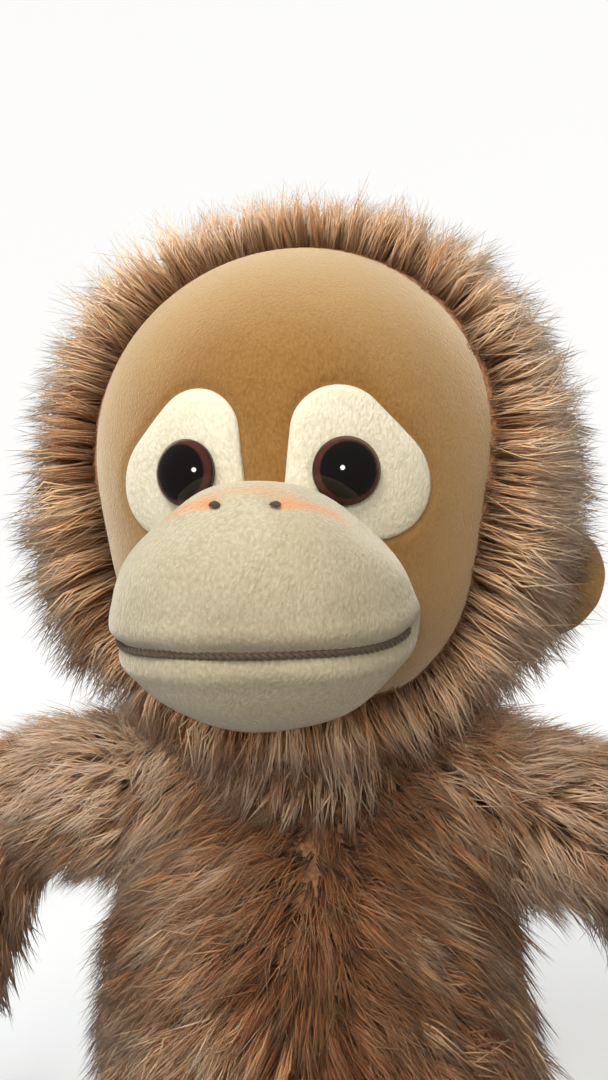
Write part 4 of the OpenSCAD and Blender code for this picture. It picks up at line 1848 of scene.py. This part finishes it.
@dataclass
class Arms:
    """Both arms: a sleeve of long pile from shoulder to wrist, and a mitten hand."""

    wardrobe: Wardrobe
    planter: Planter

    def build(self) -> None:
        """Makes both arms."""
        for name, side in SIDES.items():
            self.build_arm(name, side)

    def build_arm(self, name: str, side: int) -> None:
        """Makes one arm.

        Args:
            name: left or right.
            side: 1 or -1.
        """
        shoulder, elbow, wrist = (joint_place(f"{n}_{name}") for n in ("shoulder_raise", "elbow", "wrist"))
        down = (wrist - elbow).normalized()
        bones, radii = [shoulder, elbow, wrist + down * 4 * MM], [21 * MM, 17 * MM, 12.5 * MM]
        path, radii = limb_line(bones, radii, 34 * MM)
        sleeve = finish_mesh(tube(path, radii, 48), f"sleeve_{name}", self.wardrobe.backing)
        above, below = Vector((-side * 0.016, 0, 0.012)), Vector((side * 0.010, 0, -0.028))
        bend = (f"upper_arm_{name}", f"forearm_{name}", elbow + above, elbow + below)
        along = nearest_way(path)

        def comb(co: np.ndarray, no: np.ndarray) -> np.ndarray:
            """Combs the pile along the arm, and a little down."""
            return along(co) + np.array([0, 0, -0.35])

        def hem(co: np.ndarray, no: np.ndarray) -> np.ndarray:
            """Trims the pile at the wrist."""
            return 0.86 - 0.22 * ease(-(co[:, 2] - wrist.z), -0.02, 0.0) + 0.06 * ripple(co, 0.04, 17)

        def outside(co: np.ndarray, no: np.ndarray) -> np.ndarray:
            """Leaves the root, inside the torso, bare."""
            return ease(side * co[:, 0], 0.052, 0.060)

        growth = Growth(towards(comb), hem, outside, droop=3 * MM)
        split = elbow.z - 22 * MM
        for part, keep in (("upper", lambda c: c.z > split), ("lower", lambda c: c.z <= split)):
            pile_name, fine = f"arm_pile_{part}_{name}", part == "upper"
            settle(self.planter.plant(sleeve, pile_name, growth, 3.0 * MM, keep, fine), bend)
        nodes = ("upper_arm_fur", "upper_arm_stuffing", "forearm_fur", "forearm_stuffing", "shoulder_wad")
        settle(sleeve, bend, tuple(f"{n}_{name}" for n in nodes))
        self.build_hand(name, side, wrist, down)

    def build_hand(self, name: str, side: int, wrist: Vector, down: Vector) -> None:
        """Makes one mitten: a palm, a back, a thumb and stitched fingers.

        Args:
            name: left or right.
            side: 1 or -1.
            wrist: where the wrist is.
            down: which way the hand points.
        """
        tip = wrist + down * 42 * MM
        root = wrist + down * 14.7 * MM + Vector((0, -9 * MM, 0))
        thumb = root + Vector((side * 2, -13, -14)) * MM
        palm = [wrist - down * 4 * MM, wrist + down * 20 * MM, tip]
        body = tube(*limb_line(palm, [13.5 * MM, 16.5 * MM, 18.6 * MM], 10 * MM), 40)
        bones = [root, root.lerp(thumb, 0.5), thumb]
        finger = tube(*limb_line(bones, [7.4 * MM, 7.6 * MM, 7.4 * MM], 4 * MM), 24)
        hand = joined_soft([body, finger], f"hand_{name}", self.wardrobe.tan, 1.3 * MM, 12)
        out = Vector((-down.z, 0, down.x)).normalized()
        out = out if out.x * side > 0 else -out
        wide = down.cross(out).normalized()
        centre = np.array(wrist)
        d, o, w = np.array(down), np.array(out), np.array(wide)

        def shape(co: np.ndarray, no: np.ndarray) -> np.ndarray:
            """Flattens the mitten, and pulls in its seam and the lines between the fingers.

            Args:
                co: the points.
                no: their normals.

            Returns:
                The new points.
            """
            rel = co - centre
            along, thick, across = rel @ d, rel @ o, rel @ w
            flat = 1 - 0.22 * ease(along, 0.005, 0.035)
            p = co + np.outer(thick * (flat - 1), o)
            p -= no * (0.9 * MM * bell(thick, 1.3 * MM))[:, None]
            for place in (-9.5, 0.0, 9.5):
                groove = bell(across - place * MM, 1.3 * MM) * ease(along, 0.030, 0.040)
                p -= no * (1.5 * MM * groove)[:, None]
            return p + no * (0.25 * MM * ripple(co, 0.018, 31))[:, None]

        sculpt(hand, shape)
        nodes = tuple(f"{n}_{name}" for n in ("hand_palm", "hand_back", "hand_stuffing"))
        settle(hand, f"hand_{name}", nodes)


def limb_line(joints: list[Vector], radii: list[float], corner: float) -> tuple[list[Vector], list[float]]:
    """Draws a limb's middle line with soft corners and rounded ends.

    Args:
        joints: the points it runs through.
        radii: its radius at each.
        corner: how far from a joint the line starts to bend.

    Returns:
        The points and the radius at each.
    """
    points, sizes = [], []
    for i, (a, b) in enumerate(zip(joints, joints[1:])):
        way = (b - a).normalized()
        lead = 0.0 if i == 0 else corner
        tail = 0.0 if i == len(joints) - 2 else corner
        span = (b - a).length
        count = max(3, int((span - lead - tail) / (3 * MM)))
        for step in range(count + 1):
            far = lead + (span - lead - tail) * step / count
            points.append(a + way * far)
            sizes.append(radii[i] + (radii[i + 1] - radii[i]) * far / span)
        if i < len(joints) - 2:
            after = (joints[i + 2] - b).normalized()
            start, end = b - way * corner, b + after * corner
            for step in range(1, 9):
                t = step / 9
                points.append(start.lerp(b, t).lerp(b.lerp(end, t), t))
                sizes.append(radii[i + 1])
    turns = [math.radians(a) for a in (15, 30, 45, 60, 73, 84)]
    for first in (True, False):
        end, size, inner = (points[0], sizes[0], points[1]) if first else (points[-1], sizes[-1], points[-2])
        way = (end - inner).normalized()
        cap = [end + way * size * math.sin(a) for a in turns]
        narrow = [size * math.cos(a) for a in turns]
        if first:
            points, sizes = cap[::-1] + points, narrow[::-1] + sizes
        else:
            points, sizes = points + cap, sizes + narrow
    return points, sizes


@dataclass
class Legs:
    """Both legs: a sleeve of long pile from hip to ankle, and a foot with an upright sole."""

    wardrobe: Wardrobe
    planter: Planter

    def build(self) -> None:
        """Makes both legs."""
        for name, side in SIDES.items():
            self.build_leg(name, side)

    def build_leg(self, name: str, side: int) -> None:
        """Makes one leg.

        Args:
            name: left or right.
            side: 1 or -1.
        """
        hip, knee, ankle = (joint_place(f"{n}_{name}") for n in ("hip", "knee", "ankle"))
        ahead = (ankle - knee).normalized()
        bones, radii = [hip, knee, ankle + ahead * 2 * MM], [23 * MM, 19.5 * MM, 14 * MM]
        path, radii = limb_line(bones, radii, 16 * MM)
        sleeve = finish_mesh(tube(path, radii, 48), f"leg_cover_{name}", self.wardrobe.backing)
        half = Vector((0, 0.020, 0))
        bend = (f"thigh_{name}", f"shin_{name}", knee + half, knee - half)
        along = nearest_way(path)

        def comb(co: np.ndarray, no: np.ndarray) -> np.ndarray:
            """Combs the pile along the leg, and down its sides."""
            return along(co) + np.array([0, 0, -0.55])

        def hem(co: np.ndarray, no: np.ndarray) -> np.ndarray:
            """Trims the pile at the ankle and against the floor."""
            end, under = ease(-(co[:, 1] - ankle.y), -0.02, 0.0), ease(-co[:, 2], -0.018, -0.006)
            return 0.84 - 0.28 * end - 0.3 * under + 0.06 * ripple(co, 0.04, 23)

        def outside(co: np.ndarray, no: np.ndarray) -> np.ndarray:
            """Leaves the root, inside the torso, bare."""
            return ease(-co[:, 1], 0.035, 0.045)

        growth = Growth(towards(comb), hem, outside, steady(0.04))
        for part, keep in (("upper", lambda c: c.y > knee.y), ("lower", lambda c: c.y <= knee.y)):
            pile = self.planter.plant(sleeve, f"leg_pile_{part}_{name}", growth, 3.1 * MM, keep, False)
            settle(pile, bend)
        nodes = tuple(f"{n}_{name}" for n in ("thigh_fur", "thigh_stuffing", "shin_fur", "shin_stuffing"))
        settle(sleeve, bend, nodes)
        self.build_foot(name, side, ankle)

    def build_foot(self, name: str, side: int, ankle: Vector) -> None:
        """Makes one foot: a heel, a flat sole that faces forward, and stitched toes on top.

        Args:
            name: left or right.
            side: 1 or -1.
            ankle: where the ankle is.
        """
        heel = Vector((ankle.x, ankle.y - 20 * MM, 19 * MM))
        toes = heel + Vector((side * 1, -1, 33)) * MM
        bones = [heel, heel.lerp(toes, 0.5), toes]
        upright = tube(*limb_line(bones, [18 * MM, 19.5 * MM, 21 * MM], 6 * MM), 48)
        reach = [ankle + Vector((0, -far, 0)) * MM for far in (0, 10, 18)]
        stub = tube(*limb_line(reach, [15 * MM, 15.5 * MM, 15.5 * MM], 3 * MM), 32)
        foot = joined_soft([upright, stub], f"foot_{name}", self.wardrobe.tan, 1.4 * MM, 14)
        sole_y = heel.y - 11 * MM
        centre = np.array([(heel.x + toes.x) / 2, heel.y, heel.z + 17 * MM])

        def shape(co: np.ndarray, no: np.ndarray) -> np.ndarray:
            """Flattens the sole with a soft crown, pulls in its seam, and stitches the toes.

            Args:
                co: the points.
                no: their normals.

            Returns:
                The new points.
            """
            p = co.copy()
            ahead = sole_y - p[:, 1]
            crown = 2.6 * MM * (1 - np.exp(-np.maximum(ahead, 0) / (3.2 * MM)))
            p[:, 1] = np.where(ahead > 0, sole_y - crown, p[:, 1])
            seam = bell(p[:, 1] - (sole_y + 4.5 * MM), 1.1 * MM)
            rim = unit((co - centre) * np.array([1, 0, 1]))
            p -= rim * (1.1 * MM * seam * ease(co[:, 2], -0.001, 0.001))[:, None]
            for place in (-10.0, 0.0, 10.0):
                groove = bell(p[:, 0] - centre[0] - place * MM, 1.2 * MM)
                groove *= ease(p[:, 2], toes.z + 4 * MM, toes.z + 12 * MM)
                p -= no * (1.5 * MM * groove)[:, None]
            p += no * (0.25 * MM * ripple(co, 0.02, 37))[:, None]
            p[:, 2] = np.maximum(p[:, 2], 0.4 * MM)
            return p

        sculpt(foot, shape)
        nodes = tuple(f"{n}_{name}" for n in ("foot_sole", "foot_top", "foot_stuffing"))
        settle(foot, f"foot_{name}", nodes)


# ---------------------------------------------------------------- the studio


@dataclass
class Studio:
    """The floor, the lights and the camera."""

    turn: float = 9.0
    distance: float = 318 * MM
    height: float = 260 * MM
    aside: float = 1.2 * MM
    focal: float = 27.03
    painted_paper_glow: float = 0.87
    room_light: float = 0.17

    def build_camera(self) -> None:
        """Stands the camera near the face, a little to the toy's left."""
        a = math.radians(self.turn)
        ahead, right = Vector((-math.sin(a), math.cos(a), 0)), Vector((math.cos(a), math.sin(a), 0))
        lens = bpy.data.cameras.new("camera")
        lens.lens, lens.sensor_width, lens.clip_start = self.focal, 36.0, 0.01
        camera = bpy.data.objects.new("camera", lens)
        camera.location = -ahead * self.distance - right * self.aside + Vector((0, 0, self.height))
        camera.rotation_euler = ahead.to_track_quat("-Z", "Y").to_euler()
        bpy.context.scene.collection.objects.link(camera)
        bpy.context.scene.camera = camera

    def build_floor(self) -> None:
        """Lays a pale bowl of paper that curves up all round and glows with painted light, fading to less than
        half near the middle, and lights the room evenly.
        """
        bends = np.linspace(0, math.pi / 2, 14)
        curve = [(2.4 + 1.2 * math.sin(a), 1.2 - 1.2 * math.cos(a)) for a in bends]
        rings = [(0.3 * i, 0.0) for i in range(8)] + curve + [(3.6, 2.4), (3.6, 4.5)]
        bm = turned(rings, 96)
        material = bpy.data.materials.new("Paper")
        material.use_nodes = True
        shader, bench = material.node_tree.nodes["Principled BSDF"], NodeBench(material.node_tree)
        # Painted light: the paper glows, less than half as much near the middle, so the lamps' light and shadow
        # show there. Other rays don't see it.
        away = bench.add("ShaderNodeVectorMath", {0: bench.here()}, operation="LENGTH").outputs["Value"]
        spread = {"Value": away, "From Min": 0.25, "From Max": 1.6}
        painted_glow_fade = bench.add("ShaderNodeMapRange", spread, interpolation_type="SMOOTHSTEP").outputs[0]
        bench.dress(shader, {
            "Emission Color": bench.mix(painted_glow_fade, (0.45, 0.448, 0.443), (1.0, 0.995, 0.985)),
            "Emission Strength": self.painted_paper_glow,
            "Base Color": (0.55, 0.55, 0.545, 1.0),
            "Roughness": 0.95,
        })
        paper = finish_mesh(bm, "paper", material)
        paper.visible_diffuse = paper.visible_glossy = paper.visible_shadow = False
        world = bpy.data.worlds.new("room")
        world.use_nodes = True
        back = world.node_tree.nodes["Background"]
        back.inputs["Color"].default_value = (1.0, 0.98, 0.95, 1.0)
        back.inputs["Strength"].default_value = self.room_light
        bpy.context.scene.world = world

    def lamp(self, name: str, place: tuple, size: float, power: float, colour: Colour, glossy: bool) -> None:
        """Hangs a round lamp that faces the head.

        Args:
            name: its name.
            place: where it hangs.
            size: how wide it is.
            power: watts.
            colour: its light's colour.
            glossy: True where it shows in the eyes.
        """
        light = bpy.data.lights.new(name, "AREA")
        light.shape, light.size, light.energy, light.color = "DISK", size, power, colour
        lamp = bpy.data.objects.new(name, light)
        lamp.location = place
        lamp.visible_glossy = glossy
        lamp.rotation_euler = (Vector((0, 0, 0.24)) - Vector(place)).to_track_quat("-Z", "Y").to_euler()
        bpy.context.scene.collection.objects.link(lamp)

    def build(self) -> None:
        """Makes the whole studio."""
        self.build_camera()
        self.build_floor()
        warm, sky = (1.0, 0.95, 0.88), (0.92, 0.98, 1.0)
        self.lamp("near", (0.055, -0.46, 0.335), 0.09, 0.60, warm, True)
        self.lamp("front", (-0.12, -0.66, 0.80), 0.4, 5.4, warm, False)
        self.lamp("top", (-0.25, -0.20, 1.00), 0.5, 5.2, sky, False)
        self.lamp("left_fill", (-0.9, -0.7, 0.35), 0.5, 4.4, sky, False)
        self.lamp("right_fill", (0.8, -0.8, 0.45), 0.5, 3.6, warm, False)
        self.lamp("back", (0.3, 1.0, 1.3), 1.0, 10.0, (1, 1, 1), False)
        bpy.context.scene.view_settings.view_transform = "Standard"


def main() -> None:
    """Builds the studio and the toy, and logs the faces of each stretch of pile and the body each piece is on.
    """
    logging.basicConfig(level=logging.INFO, format="%(message)s")
    Studio().build()
    wardrobe = Wardrobe()
    planter = Planter(wardrobe.long_pile)
    Head(wardrobe, planter).build()
    Torso(wardrobe, planter).build()
    Arms(wardrobe, planter).build()
    Legs(wardrobe, planter).build()


if __name__ == "__main__":
    main()
